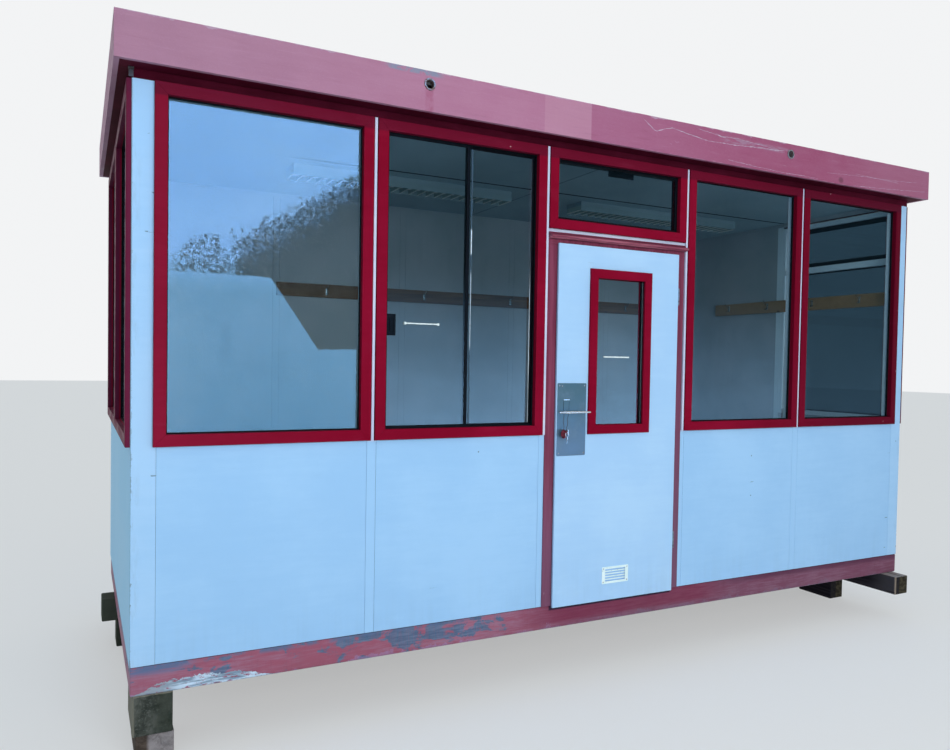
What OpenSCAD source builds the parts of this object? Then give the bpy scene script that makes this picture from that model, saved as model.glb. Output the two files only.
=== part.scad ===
// Portable site cabin on timber blocks. Millimetres, +Z up, door side facing -Y.
// The origin lies on the ground under the middle of the roof.

/* [Plan] */
// Distance between the post lines of the window bays
bay_w = 1000; // [900:10:1200]
// Distance between the post lines of the end walls
end_bay_w = 1000; // [950:10:1200]
// Distance from the outer corner to the first post line
corner_line = 100; // [96:1:120]
// Thickness of every wall
wall_t = 60; // [50:1:75]
// Width of a post between two bays
post_w = 48; // [40:1:60]
// Width of the corner post that shows beside the first window trim
corner_show = 90; // [80:1:110]
// Radius of a corner post's outer edge
corner_r = 6; // [3:1:10]
// Open joint between neighbouring wall parts
joint = 0.8; // [0.4:0.1:0.9]
// Open joint between two mitred bars
mitre_joint = 0.4; // [0.2:0.1:0.8]

/* [Heights] */
// Height of the timber stacks from the ground to the base rail
support_h = 300; // [280:5:360]
// Height of the base rail
rail_h = 134; // [120:1:160]
// Height of the walls from the floor to the head beam
wall_h = 2556; // [2500:1:2700]
// Height of the window trims' lower edge above the floor
sill_h = 966; // [850:1:1100]
// Height from the door leaf's upper edge to the transom trim's lower edge
transom_gap = 79; // [70:1:120]
// Height of the head beam on top of the walls
head_h = 50; // [40:1:80]

/* [Base and floor] */
// Width of the base rail's flanges
rail_flange = 60; // [50:1:80]
// Steel thickness of the base rail
rail_t = 4; // [3:0.5:6]
// Outer bend radius of the base rail
rail_r = 10; // [6:1:14]
// How far the base rail's face lies behind the wall's face
rail_inset = 4; // [1:1:8]
// Thickness of the floor deck
deck_t = 22; // [18:1:28]
// Width of a floor joist
joist_w = 50; // [40:1:70]
// Number of floor joists
joist_count = 10; // [8:1:12]

/* [Windows] */
// Width of the trim around a window
trim_w = 54; // [45:1:60]
// How far a trim stands out of the wall
trim_proud = 22; // [10:1:25]
// How far a trim laps over the post beside it
trim_lap = 14; // [10:1:18]
// Width of the cover strip between two trims
strip_w = 14; // [6:1:16]
// How far a cover strip stands out of the wall
strip_proud = 14; // [4:1:18]
// Thickness of the trim's lip that runs back to the gasket
lip_t = 7; // [5:1:9]
// Depth of the trim's lip behind the wall's face
lip_depth = 8; // [6:1:12]
// Radius of the trim's outer edge
trim_r = 5; // [3:1:8]
// Distance from the corner to the end windows' trim
end_trim_edge = 8; // [6:1:20]
// Width of the wooden frame around a pane
lining_w = 36; // [34:1:44]
// Depth of the rebate that holds the pane
rebate = 12; // [10:1:16]
// Thickness of a pane
pane_t = 6; // [4:1:10]
// Thickness of the gasket in front of a pane
gasket_t = 12; // [8:1:14]
// Width of the gasket that shows inside the trim
gasket_show = 10; // [5:1:10]
// Width of the sliding window's outer frame that shows inside the trim
slide_show = 11; // [8:1:16]
// Thickness of a sliding sash
sash_t = 14; // [12:1:16]
// Width of a sliding sash's bars
sash_w = 17; // [15:1:24]
// Overlap of the two sliding sashes in the middle
sash_overlap = 17; // [12:1:20]
// Distance of the sashes' meeting line to the right of the bay's middle
meeting_shift = 23; // [-80:1:80]
// Running clearance of a sliding sash in its track
track_gap = 0.5; // [0.3:0.1:0.8]
// Thickness of the panes held in metal sashes
sash_pane_t = 5; // [4:1:8]
// Depth of a metal sash that opens as a flap
flap_t = 40; // [32:1:44]
// Width of the transom flap's bars that shows inside the trim
flap_show = 20; // [12:1:24]
// Width of the end window flap's bars that shows inside the frame
end_flap_show = 36; // [25:1:45]
// Length of the hopper's catch plate
catch_len = 180; // [100:1:200]
// Height of the hopper's catch plate
catch_h = 42; // [36:1:50]
// How far the hopper's catch plate hangs below the flap's upper bar
catch_drop = 27; // [10:1:30]
// Distance of the hopper's catch to the right of the bay's middle
catch_shift = 40; // [-60:1:60]
// How far the hopper's catch stands into the room
catch_out = 16; // [10:1:25]
// Height of the end window's lower pane above the sill line
end_rail_h = 1126; // [1000:1:1250]
// Height of the rail between the end window's panes
end_rail_t = 47; // [40:1:60]

/* [Door] */
// Width of the door leaf's face
leaf_w = 860; // [800:1:880]
// Height of the leaf's upper edge above the floor
leaf_h = 2033; // [1950:1:2040]
// How far the leaf's face hangs below the floor level
leaf_drop = 8; // [4:1:12]
// Thickness of the leaf's face board
face_t = 15; // [12:1:18]
// Thickness of the leaf's core behind the face board
core_t = 30; // [25:1:36]
// Width of a door jamb
jamb_w = 53; // [45:1:70]
// Width of the face board that laps over the door frame
face_lap = 15; // [12:1:20]
// Gap around the leaf's core
door_gap = 8; // [6:1:10]
// Gap between the face board and the door casing
face_gap = 5; // [5:0.5:8]
// Thickness of the door casing on the wall's face
casing_t = 6; // [4:1:10]
// Height of the door head's casing above the leaf's core opening
head_casing_h = 30; // [24:1:30]
// Width of the stops behind the leaf
stop_w = 14; // [10:1:20]
// Thickness of the threshold plate
threshold_t = 3; // [2:0.5:5]
// Height of the drip bar over the door
drip_h = 36; // [28:1:44]
// How far the drip bar stands out of the wall
drip_proud = 46; // [36:1:60]
// Height of the door window's lower trim edge above the floor
door_win_z = 965; // [700:1:1000]
// Distance from the door window's trim to the leaf's upper edge
door_win_top = 127; // [100:1:300]
// Distance from the door window's trim to the leaf's hinged edge
door_win_side = 210.5; // [100:0.5:240]
// Distance from the door window's trim to the lock plate
plate_gap = 12.5; // [8:0.5:40]
// Width of the door window's trim
door_trim_w = 52; // [40:1:55]
// How far the door window's trim stands off the leaf
door_trim_proud = 15; // [8:1:18]

/* [Door fittings] */
// Radius of a hinge knuckle
knuckle_r = 7; // [6:0.5:8]
// Height of a hinge
hinge_h = 100; // [80:1:120]
// Radius of a hinge pin
pin_r = 4; // [3:0.5:5]
// Running clearance around pins and spindles
run_gap = 0.3; // [0.2:0.1:0.5]
// Distance from the leaf's edge to the hinge pin
hinge_out = 8; // [7.5:0.5:9]
// Height of the lower hinge's middle above the floor
hinge_low = 302; // [250:1:400]
// Height of the upper hinge's middle above the floor
hinge_high = 1781; // [1650:1:1850]
// Width of the lock plate
plate_w = 192; // [160:1:200]
// Height of the lock plate
plate_h = 408; // [350:1:430]
// Thickness of the lock plate
plate_t = 3; // [2:0.5:4]
// Distance from the leaf's free edge to the lock plate
plate_edge = 6; // [4:1:20]
// Height of the lock plate's lower edge above the floor
plate_z = 847; // [800:1:900]
// Distance from the leaf's free edge to the lever's spindle
spindle_edge = 54; // [45:1:70]
// Height of the lever's spindle above the floor
spindle_z = 1094; // [1050:1:1120]
// Radius of the lever's neck and of the thick end of its grip
lever_r = 6.5; // [5:0.5:9]
// Radius of the lever's grip at its end
lever_tip_r = 4.5; // [3.5:0.5:5]
// Length of the lever's grip
lever_len = 146; // [120:1:150]
// Length of the lever's tail on the other side of the spindle
lever_tail = 62; // [25:1:65]
// Distance from the lock plate to the middle of the lever's grip
lever_out = 46; // [40:1:52]
// Distance of the lock cylinder below the spindle
cylinder_drop = 112; // [90:1:120]
// Width of the vent grille
vent_w = 188; // [150:1:220]
// Height of the vent grille
vent_h = 98; // [80:1:120]
// Height of the vent grille's middle above the floor
vent_z = 138; // [120:1:200]
// Number of slots in the vent grille
vent_slots = 5; // [4:1:6]

/* [Roof] */
// Overhang of the roof at the front and the back
overhang_front = 110; // [100:1:140]
// Overhang of the roof at the ends
overhang_end = 75; // [60:1:100]
// Height of the fascia boards
fascia_h = 198; // [180:1:240]
// Thickness of the fascia boards
fascia_t = 22; // [18:1:30]
// How far the fascia hangs below the roof joists
fascia_drop = 10; // [8:1:20]
// Height of a roof joist
roof_joist_h = 130; // [110:1:140]
// Width of a roof joist
roof_joist_w = 60; // [45:1:70]
// Number of roof joists
roof_joist_count = 11; // [11:1:12]
// Thickness of the roof deck
roof_deck_t = 22; // [18:1:24]
// Thickness of the roof covering
covering_t = 8; // [4:1:10]
// Height of the roof covering's upstand along the fascia
upstand_h = 20; // [10:1:20]
// Width of the fillet under the upstand
upstand_w = 36; // [25:1:50]
// Thickness of the ceiling boards
ceiling_t = 20; // [12:1:24]
// Distance of a lifting socket from the middle of the cabin
socket_x = 1260; // [1200:5:1300]
// Height of a lifting socket's axis above the fascia's lower edge
socket_z = 133; // [110:1:133]
// Outer radius of a lifting socket
socket_r = 30; // [26:0.5:32]
// Bore radius of a lifting socket
socket_bore_r = 22; // [18:0.5:24]
// Clearance around a lifting socket in the fascia
socket_gap = 1; // [0.5:0.5:2]
// How far a lifting socket stands out of the fascia
socket_proud = 4; // [2:1:6]
// Radius of the socket's flange behind the fascia
socket_flange_r = 36; // [34:0.5:36]
// Thickness of the socket's flange
socket_flange_t = 6; // [5:1:10]

/* [Inside] */
// Height of a coat rail board
coat_h = 100; // [80:1:120]
// Thickness of a coat rail board
coat_t = 20; // [15:1:25]
// Height of the coat rails' upper edge above the floor
coat_z = 1936; // [1850:1:2000]
// Length of the coat rail on the back wall
coat_len = 3600; // [3000:10:4000]
// Length of the coat rail on the end wall
end_coat_len = 1750; // [1500:10:1760]
// Distance of the end wall's coat rail from the front wall's inner face
end_coat_gap = 10; // [5:1:30]
// Length of a ceiling light
light_len = 1560; // [1200:10:1600]
// Width of a ceiling light
light_w = 190; // [150:1:220]
// Height of a ceiling light
light_h = 70; // [60:1:90]
// Distance between the middles of the two ceiling lights
light_pitch = 2160; // [1900:10:2200]
// Distance of the ceiling lights to the right of the middle of the room
light_shift = 250; // [0:10:300]
// Distance of the ceiling lights behind the middle of the room
light_back = 190; // [0:10:300]
// Height of a ceiling light's closed housing
light_box_h = 30; // [20:1:40]
// Sheet thickness of a ceiling light
light_sheet = 2; // [1.5:0.5:3]
// Number of louvre blades in a ceiling light
light_blades = 23; // [11:2:27]

/* [Timber supports] */
// Width of the sawn block under the front left corner
block_w = 168; // [150:1:200]
// Height of the upper block
block_h = 184; // [170:1:200]
// Length of the block under the front left corner
block_len = 320; // [250:5:400]
// Width of the left bearer
bearer_w = 150; // [140:1:170]
// How far the right bearer sticks out at the front
bearer_out = 104; // [60:1:110]
// Width of the right bearer
side_bearer_w = 134; // [120:1:170]
// Height of the right bearer
side_bearer_h = 128; // [110:1:170]
// Distance of the right bearer's outer side behind the end wall
bearer_side = 15; // [0:1:40]
// How far the left bearer sticks out at the end
cross_out = 68; // [40:1:70]
// Length of the left bearer
cross_len = 420; // [350:10:600]
// Height of the left bearer
cross_h = 138; // [130:1:180]
// Distance of the left bearer's front face behind the front wall
cross_back = 1585; // [1400:5:1900]
// Length of a packing block under a bearer
pack_len = 300; // [240:5:360]

/* [Hidden] */
$fn = 32;

core_half = leaf_w / 2 - face_lap;
frame_half = core_half + door_gap;
door_bay_w = 2 * (frame_half + jamb_w) + post_w;
length = 4 * bay_w + door_bay_w + 2 * corner_line;
depth = 2 * end_bay_w + 2 * corner_line;
corner_w = corner_show + trim_lap;
corner_side = end_trim_edge + trim_lap;
z_floor = support_h + rail_h;
z_top = z_floor + wall_h;
z_roof = z_top + head_h;
z_fascia = z_roof - fascia_drop;
z_sill = z_floor + sill_h;
z_open = z_sill + trim_lap;
z_transom = z_floor + leaf_h + transom_gap;
pane_in = lining_w - rebate + 2;
metal_in = lining_w - rebate + joint / 2;
pane_back = lip_depth + gasket_t + pane_t;
z_head = z_floor + leaf_h - face_lap + door_gap;
z_lintel = z_head + head_casing_h + 14;
y_face = -casing_t - face_gap - face_t;
y_core = -casing_t - face_gap;
x_hinge = leaf_w / 2 + hinge_out;
y_hinge = y_face + face_t / 2;
z_head_line = z_top - trim_lap;
track_wall = 3;
track_depth = 9;
slide_back = lip_depth + 2 * (sash_t + 2 * track_gap) + 3 * track_wall;
slide_w = lining_w - metal_in + slide_show;
sash_in = metal_in + slide_w - track_depth + track_gap;
sash_groove = (sash_t - sash_pane_t) / 2;
pane_grip = 8;
drip_nose_t = 14;
drip_board_t = 16;
drip_groove = 6;
drip_lip = 10;
nose_h = 8.5;
nose_edge = 3.5;
flap_w = lining_w - metal_in + flap_show;
end_flap_w = lining_w - metal_in + end_flap_show;
flap_groove = 6;
catch_t = 8;
z_hopper = z_transom + trim_lap + metal_in;
z_end_rail = z_open + lining_w + end_rail_h;
z_end_flap = z_end_rail + end_rail_t - rebate + joint;
door_win_w = leaf_w - plate_edge - plate_w - plate_gap - door_win_side;
door_win_h = leaf_h - door_win_z - door_win_top;
door_win_x = leaf_w / 2 - door_win_side - door_win_w / 2;
x_spindle = -leaf_w / 2 + spindle_edge;
neck_r = lever_r - 1;
door_sight = door_trim_w - 4;
inner_trim_t = 8;
vent_rim = 18;
vent_edge = 14;
vent_depth = 8;
vent_t = 3;
slot_end = 22;
cylinder_r = 8.5;
cylinder_out = 5;
cylinder_drop_w = 10;
cylinder_drop_h = 22;
roof_x = length / 2 + overhang_end;
roof_y = depth / 2 + overhang_front;
far = 6000;
seat_gap = 0.3;
block_in = 14;
under_in = 14;
pack_in = 420;

// Post line k of a long wall: the door bay lies between lines 2 and 3
function post_x(k) = k < 3 ? -door_bay_w / 2 + (k - 2) * bay_w : door_bay_w / 2 + (k - 3) * bay_w;
// Span of front bay i between the faces of its two posts, measured along the wall
function front_x0(i) = i == 0 ? -length / 2 + corner_w : post_x(i) + post_w / 2;
function front_x1(i) = i == 4 ? length / 2 - corner_w : post_x(i + 1) - post_w / 2;
// Span of an end bay: side -1 or 1 along the wall
function end_x0(side) = side < 0 ? -depth / 2 + corner_side : post_w / 2;
function end_x1(side) = side < 0 ? -post_w / 2 : depth / 2 - corner_side;
// Points of a quarter bend of radius r about c, turning by 90 * turn degrees from angle a
function bend(c, r, a, turn = 1, n = 4) =
    [for (k = [0:n]) [c[0] + r * cos(a + turn * 90 * k / n), c[1] + r * sin(a + turn * 90 * k / n)]];

// Wall coordinates: x along the wall, y inwards from its outer face, z up
module on_front() translate([0, -depth / 2, 0]) children();
module on_back() translate([0, depth / 2, 0]) rotate([0, 0, 180]) children();
module on_left() translate([-length / 2, 0, 0]) rotate([0, 0, -90]) children();
module on_right() translate([length / 2, 0, 0]) rotate([0, 0, 90]) children();

module block(x0, x1, y0, y1, z0, z1) translate([x0, y0, z0]) cube([x1 - x0, y1 - y0, z1 - z0]);

// Bar along x with a profile of [y, inward] points, cut at 45 degrees at both ends
module mitred_bar(len, width, profile) {
    cut = mitre_joint * 0.7;
    intersection() {
        rotate([90, 0, 90]) linear_extrude(len) polygon(profile);
        translate([0, far / 2, 0]) rotate([90, 0, 0]) linear_extrude(far)
            polygon([[cut, 0], [len - cut, 0], [len - width - cut, width], [width + cut, width]]);
    }
}

// Four mitred bars around the rectangle x0..x1, z0..z1, running inwards by width
module ring(x0, x1, z0, z1, width, profile) {
    translate([x0, 0, z0]) mitred_bar(x1 - x0, width, profile);
    translate([x1, 0, z1]) rotate([0, 180, 0]) mitred_bar(x1 - x0, width, profile);
    translate([x0, 0, z1]) rotate([0, 90, 0]) mitred_bar(z1 - z0, width, profile);
    translate([x1, 0, z0]) rotate([0, -90, 0]) mitred_bar(z1 - z0, width, profile);
}

function bar_profile(width, y0, y1) = [[y0, 0], [y1, 0], [y1, width], [y0, width]];

// Trim moulding: rounded outer edge, flat face, slope towards the pane and a lip into the reveal
function trim_profile(width, proud, lip) = concat(
    [[0, 0]],
    bend([-proud + trim_r, trim_r], trim_r, 270, -1),
    [[-proud, width - 10], [-proud + 2, width], [lip, width], [lip, width - lip_t],
     [0, width - lip_t]]);

module trim(x0, x1, z0, z1) ring(x0, x1, z0, z1, trim_w, trim_profile(trim_w, trim_proud, lip_depth));

// Wooden frame bar with the rebate for the pane cut from its outer side
function lining_profile() = [[0, 0], [wall_t, 0], [wall_t, lining_w], [pane_back, lining_w],
    [pane_back, lining_w - rebate], [0, lining_w - rebate]];

module lining(x0, x1, z0, z1) ring(x0 + joint, x1 - joint, z0 + joint, z1 - joint, lining_w - joint,
    [for (p = lining_profile()) [p[0], max(0, p[1] - joint)]]);

// Plain wooden frame around a metal window
module plain_lining(x0, x1, z0, z1) ring(x0 + joint, x1 - joint, z0 + joint, z1 - joint,
    lining_w - rebate - joint, bar_profile(lining_w - rebate - joint, 0, wall_t));

module gasket(x0, x1, z0, z1) {
    width = lining_w - pane_in + gasket_show;
    ring(x0 + pane_in, x1 - pane_in, z0 + pane_in, z1 - pane_in, width,
        bar_profile(width, lip_depth, lip_depth + gasket_t));
}

module pane(x0, x1, z0, z1) block(x0 + pane_in, x1 - pane_in, lip_depth + gasket_t, pane_back,
    z0 + pane_in, z1 - pane_in);

// Trim of an end window: it reaches almost to the corner
module end_trim(side) trim(end_x0(side) - trim_lap, end_x1(side) + trim_lap, z_sill, z_top);

// Base: four folded channels with rounded outer bends, open to the inside
function rail_profile() = concat(
    [for (k = [0:6]) [rail_r - rail_r * sin(90 * k / 6), rail_r - rail_r * cos(90 * k / 6)]],
    [for (k = [0:6]) [rail_r - rail_r * cos(90 * k / 6), rail_h - rail_r + rail_r * sin(90 * k / 6)]],
    [[rail_flange, rail_h], [rail_flange, rail_h - rail_t], [rail_t, rail_h - rail_t], [rail_t, rail_t],
     [rail_flange, rail_t], [rail_flange, 0]]);

module base_rail(len) {
    cut = mitre_joint * 0.7;
    intersection() {
        translate([-len / 2, 0, 0]) rotate([90, 0, 90]) linear_extrude(len) polygon(rail_profile());
        translate([0, 0, -1]) linear_extrude(rail_h + 2)
            polygon([[-len / 2 + cut, 0], [len / 2 - cut, 0],
                [len / 2 - rail_flange - cut, rail_flange], [-len / 2 + rail_flange + cut, rail_flange]]);
    }
}

module base_frame() color([0.49, 0.2, 0.28]) translate([0, 0, support_h]) {
    on_front() translate([0, rail_inset, 0]) base_rail(length - 2 * rail_inset);
    on_back() translate([0, rail_inset, 0]) base_rail(length - 2 * rail_inset);
    on_left() translate([0, rail_inset, 0]) base_rail(depth - 2 * rail_inset);
    on_right() translate([0, rail_inset, 0]) base_rail(depth - 2 * rail_inset);
}

module floor_joists() color("burlywood") {
    x_end = length / 2 - rail_inset - rail_flange;
    pitch = 2 * x_end / joist_count;
    y_end = depth / 2 - rail_inset - rail_t;
    for (k = [0:joist_count - 1]) {
        x = -x_end + pitch * (k + 0.5);
        block(x - joist_w / 2, x + joist_w / 2, -y_end, y_end, support_h + rail_t, z_floor - deck_t);
    }
}

module floor_deck() color("tan") {
    x = length / 2 - rail_inset - rail_flange - joint;
    y = depth / 2 - rail_inset - rail_flange - joint;
    block(-x, x, -y, y, z_floor - deck_t, z_floor);
}

// Walls: corner posts with a thin outer leg, posts, panels and the head beam
module corner_posts() color("white") for (sx = [0, 1], sy = [0, 1])
    mirror([sx, 0, 0]) mirror([0, sy, 0]) translate([length / 2 - corner_w, depth / 2 - wall_t, z_floor])
        linear_extrude(wall_h) polygon(concat(
            [[0, 0], [corner_w - wall_t, 0], [corner_w - wall_t, wall_t - corner_side],
             [corner_w, wall_t - corner_side]],
            bend([corner_w - corner_r, wall_t - corner_r], corner_r, 0), [[0, wall_t]]));

module post(x) block(x - post_w / 2, x + post_w / 2, 0, wall_t, z_floor, z_top);

module front_posts() color("white") on_front() {
    for (k = [1:4]) {
        x = post_x(k);
        post(x);
        block(x - strip_w / 2, x + strip_w / 2, -strip_proud, wall_t, z_sill, z_top);
    }
    block(front_x0(2) + joint, front_x1(2) - joint, 0, wall_t, z_lintel, z_transom + trim_lap);
}

module end_posts() color("white") {
    on_left() post(0);
    on_right() post(0);
}

module panel(x0, x1) block(x0 + joint, x1 - joint, 0, wall_t, z_floor, z_open);

module front_panels_left() color("white") on_front() for (i = [0, 1]) panel(front_x0(i), front_x1(i));
module front_panels_right() color("white") on_front() for (i = [3, 4]) panel(front_x0(i), front_x1(i));
module left_end_panels() color("white") on_left() for (s = [-1, 1]) panel(end_x0(s), end_x1(s));

module right_end_panels() color("white") on_right() {
    panel(end_x0(-1), end_x1(-1));
    block(end_x0(1) + joint, end_x1(1) - joint, 0, wall_t, z_floor, z_top);
}

module back_wall() color("white") on_back() for (i = [0:4]) {
    block(front_x0(i) + joint, front_x1(i) - joint, 0, wall_t, z_floor, z_top);
    if (i > 0) post(post_x(i));
}

module head_beam() color([0.36, 0.03, 0.1]) translate([0, 0, z_top]) {
    cut = mitre_joint * 0.7;
    for (s = [-1, 1]) {
        block(-length / 2, length / 2, s < 0 ? -depth / 2 : depth / 2 - wall_t,
            s < 0 ? -depth / 2 + wall_t : depth / 2, 0, head_h);
        block(s < 0 ? -length / 2 : length / 2 - wall_t, s < 0 ? -length / 2 + wall_t : length / 2,
            -depth / 2 + wall_t + cut, depth / 2 - wall_t - cut, 0, head_h);
    }
}

// Windows
module front_window_frames() color("white") on_front() {
    for (i = [0, 3, 4]) lining(front_x0(i), front_x1(i), z_open, z_head_line);
    plain_lining(front_x0(1), front_x1(1), z_open, z_head_line);
    plain_lining(front_x0(2), front_x1(2), z_transom + trim_lap, z_head_line);
}

module left_window_frames() color("white") on_left()
    for (s = [-1, 1]) lining(end_x0(s), end_x1(s), z_open, z_head_line);

// The rail between the two panes has a rebate above and below and clears the lip of the trim
module right_window_frames() color("white") on_right() {
    lining(end_x0(-1), end_x1(-1), z_open, z_head_line);
    x0 = end_x0(-1) + lining_w + joint;
    x1 = end_x1(-1) - lining_w - joint;
    under_lip = max(0, trim_w - trim_lap - lining_w);
    difference() {
        translate([x0, 0, z_end_rail]) rotate([90, 0, 90]) linear_extrude(x1 - x0)
            polygon([[0, rebate], [pane_back, rebate], [pane_back, 0], [wall_t, 0], [wall_t, end_rail_t],
                [pane_back, end_rail_t], [pane_back, end_rail_t - rebate], [0, end_rail_t - rebate]]);
        for (x = [x0 - 1, x1 - under_lip])
            block(x, x + under_lip + 1, -1, lip_depth + joint, z_end_rail, z_end_rail + end_rail_t);
    }
}

module front_window_trims() color([0.49, 0.06, 0.16]) on_front() {
    for (i = [0, 1, 3, 4]) trim(front_x0(i) - trim_lap, front_x1(i) + trim_lap, z_sill, z_top);
    trim(front_x0(2) - trim_lap, front_x1(2) + trim_lap, z_transom, z_top);
}

module left_window_trims() color([0.49, 0.06, 0.16]) on_left() for (s = [-1, 1]) end_trim(s);
module right_window_trims() color([0.49, 0.06, 0.16]) on_right() end_trim(-1);

module window_gaskets() color([0.05, 0.05, 0.06]) {
    on_front() for (i = [0, 3, 4]) gasket(front_x0(i), front_x1(i), z_open, z_head_line);
    on_left() for (s = [-1, 1]) gasket(end_x0(s), end_x1(s), z_open, z_head_line);
    on_right() gasket(end_x0(-1), end_x1(-1), z_open, z_end_rail + lining_w);
}

// Outer frame of the sliding window: a channel section with one rib between its two tracks
function slide_profile() = let (y0 = lip_depth, y1 = slide_back, b = slide_w - track_depth,
    track = sash_t + 2 * track_gap)
    [[y0, 0], [y1, 0], [y1, slide_w], [y1 - track_wall, slide_w], [y1 - track_wall, b],
     [y1 - track_wall - track, b], [y1 - track_wall - track, slide_w], [y0 + track_wall + track, slide_w],
     [y0 + track_wall + track, b], [y0 + track_wall, b], [y0 + track_wall, slide_w], [y0, slide_w]];

module sliding_window_frame() color([0.06, 0.06, 0.07]) on_front()
    ring(front_x0(1) + metal_in, front_x1(1) - metal_in, z_open + metal_in, z_head_line - metal_in, slide_w,
        slide_profile());

// Sash s: -1 on the left in the outer track, 1 on the right in the inner track
function meeting_x() = (front_x0(1) + front_x1(1)) / 2 + meeting_shift;
function sash_x0(s) = s < 0 ? front_x0(1) + sash_in : meeting_x() - sash_overlap / 2;
function sash_x1(s) = s < 0 ? meeting_x() + sash_overlap / 2 : front_x1(1) - sash_in;
function sash_y(s) =
    s < 0 ? lip_depth + track_wall + track_gap : slide_back - track_wall - track_gap - sash_t;

// Section of a metal sash bar at depth y0 with a groove for its pane at depth y0 + groove
function sash_profile(y0, depth, width, groove) = let (c = 2, side = 0.2)
    [[y0, 0], [y0 + depth, 0], [y0 + depth, width - c], [y0 + depth - c, width],
     [y0 + groove + sash_pane_t + side, width], [y0 + groove + sash_pane_t + side, width - pane_grip - 1],
     [y0 + groove - side, width - pane_grip - 1], [y0 + groove - side, width], [y0 + c, width],
     [y0, width - c]];

// Pane held in a metal sash whose bars have the given width
module sash_pane(x0, x1, y, z0, z1, width) {
    inset = width - pane_grip;
    block(x0 + inset, x1 - inset, y, y + sash_pane_t, z0 + inset, z1 - inset);
}

module sliding_sashes() color([0.06, 0.06, 0.07]) on_front() for (s = [-1, 1])
    ring(sash_x0(s), sash_x1(s), z_open + sash_in, z_head_line - sash_in, sash_w,
        sash_profile(sash_y(s), sash_t, sash_w, sash_groove));

// Flaps: the hopper light over the door with its catch, and the upper light of the right end window
module flap_sashes() color([0.06, 0.06, 0.07]) {
    on_front() ring(front_x0(2) + metal_in, front_x1(2) - metal_in, z_hopper, z_head_line - metal_in, flap_w,
        sash_profile(lip_depth, flap_t, flap_w, flap_groove));
    on_front() translate([catch_shift, lip_depth + flap_t, z_head_line - metal_in - flap_w - catch_drop]) {
        block(-catch_len / 2, catch_len / 2, 0, catch_t, 0, catch_h);
        block(-catch_len / 12, catch_len / 12, catch_t, catch_t + catch_out, catch_h / 3, catch_h * 2 / 3);
    }
    on_right() ring(end_x0(-1) + metal_in, end_x1(-1) - metal_in, z_end_flap, z_head_line - metal_in,
        end_flap_w, sash_profile(lip_depth, pane_back - lip_depth, end_flap_w, flap_groove));
}

module front_glass() color([0.5, 0.62, 0.66, 0.4]) on_front() {
    for (i = [0, 3, 4]) pane(front_x0(i), front_x1(i), z_open, z_head_line);
    for (s = [-1, 1]) sash_pane(sash_x0(s), sash_x1(s), sash_y(s) + sash_groove, z_open + sash_in,
        z_head_line - sash_in, sash_w);
    sash_pane(front_x0(2) + metal_in, front_x1(2) - metal_in, lip_depth + flap_groove, z_hopper,
        z_head_line - metal_in, flap_w);
}

module left_end_glass() color([0.5, 0.62, 0.66, 0.4]) on_left()
    for (s = [-1, 1]) pane(end_x0(s), end_x1(s), z_open, z_head_line);

module right_end_glass() color([0.5, 0.62, 0.66, 0.4]) on_right() {
    pane(end_x0(-1), end_x1(-1), z_open, z_end_rail + lining_w);
    sash_pane(end_x0(-1) + metal_in, end_x1(-1) - metal_in, lip_depth + flap_groove, z_end_flap,
        z_head_line - metal_in, end_flap_w);
}

// Door frame: jambs and head with a casing on the wall's face, stops behind the leaf and a threshold
module door_frame() color([0.55, 0.25, 0.35]) on_front() {
    x_post = front_x1(2);
    y_stop = y_core + core_t + face_gap;
    for (s = [0, 1]) mirror([s, 0, 0]) {
        translate([0, 0, z_floor]) linear_extrude(z_head - z_floor - joint)
            polygon([[frame_half, -casing_t], [x_post + trim_lap, -casing_t], [x_post + trim_lap, 0],
                [x_post - joint, 0], [x_post - joint, wall_t], [frame_half, wall_t]]);
        block(frame_half - stop_w, frame_half - mitre_joint, y_stop, wall_t, z_floor + threshold_t + joint,
            z_head - stop_w - joint);
    }
    block(-x_post - trim_lap, x_post + trim_lap, -casing_t, 0, z_head, z_head + head_casing_h);
    block(-x_post + joint, x_post - joint, 0, wall_t, z_head, z_lintel - joint);
    block(-frame_half + joint, frame_half - joint, y_stop, wall_t, z_head - stop_w, z_head - mitre_joint);
    block(-frame_half + joint, frame_half - joint, 0, wall_t, z_floor, z_floor + threshold_t);
}

// Drip bar over the door: a back board, a sloped top and a thicker nose
module drip_bar() color([0.55, 0.12, 0.2]) on_front() {
    half = front_x1(2) + trim_lap;
    y_nose = -drip_proud;
    y_board = -drip_board_t;
    translate([-half, 0, z_head + head_casing_h + joint]) rotate([90, 0, 90]) linear_extrude(2 * half)
        polygon([[0, 0], [y_nose + drip_nose_t, 0], [y_nose + drip_nose_t, drip_groove], [y_nose, drip_groove],
            [y_nose, drip_groove + nose_h], [y_nose + nose_edge, drip_groove + nose_h + nose_edge],
            [y_board, drip_h - drip_lip], [y_board, drip_h], [0, drip_h]]);
}

// Door leaf: a core in the frame and a face board that laps over it
module door_leaf() color("white") on_front() {
    x = door_win_x;
    hw = door_win_w / 2 - door_sight;
    z0 = z_floor + door_win_z + door_sight;
    z1 = z_floor + door_win_z + door_win_h - door_sight;
    z_vent = z_floor + vent_z;
    difference() {
        union() {
            block(-leaf_w / 2, leaf_w / 2, y_face, y_face + face_t, z_floor - leaf_drop, z_floor + leaf_h);
            block(-core_half, core_half, y_core, y_core + core_t, z_floor + threshold_t + door_gap,
                z_floor + leaf_h - face_lap);
        }
        block(x - hw, x + hw, y_face - 1, y_core + core_t + 1, z0, z1);
        block(-vent_w / 2 + vent_rim, vent_w / 2 - vent_rim, y_face - 1, y_face + vent_depth,
            z_vent - vent_h / 2 + vent_edge, z_vent + vent_h / 2 - vent_edge);
    }
}

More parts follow.
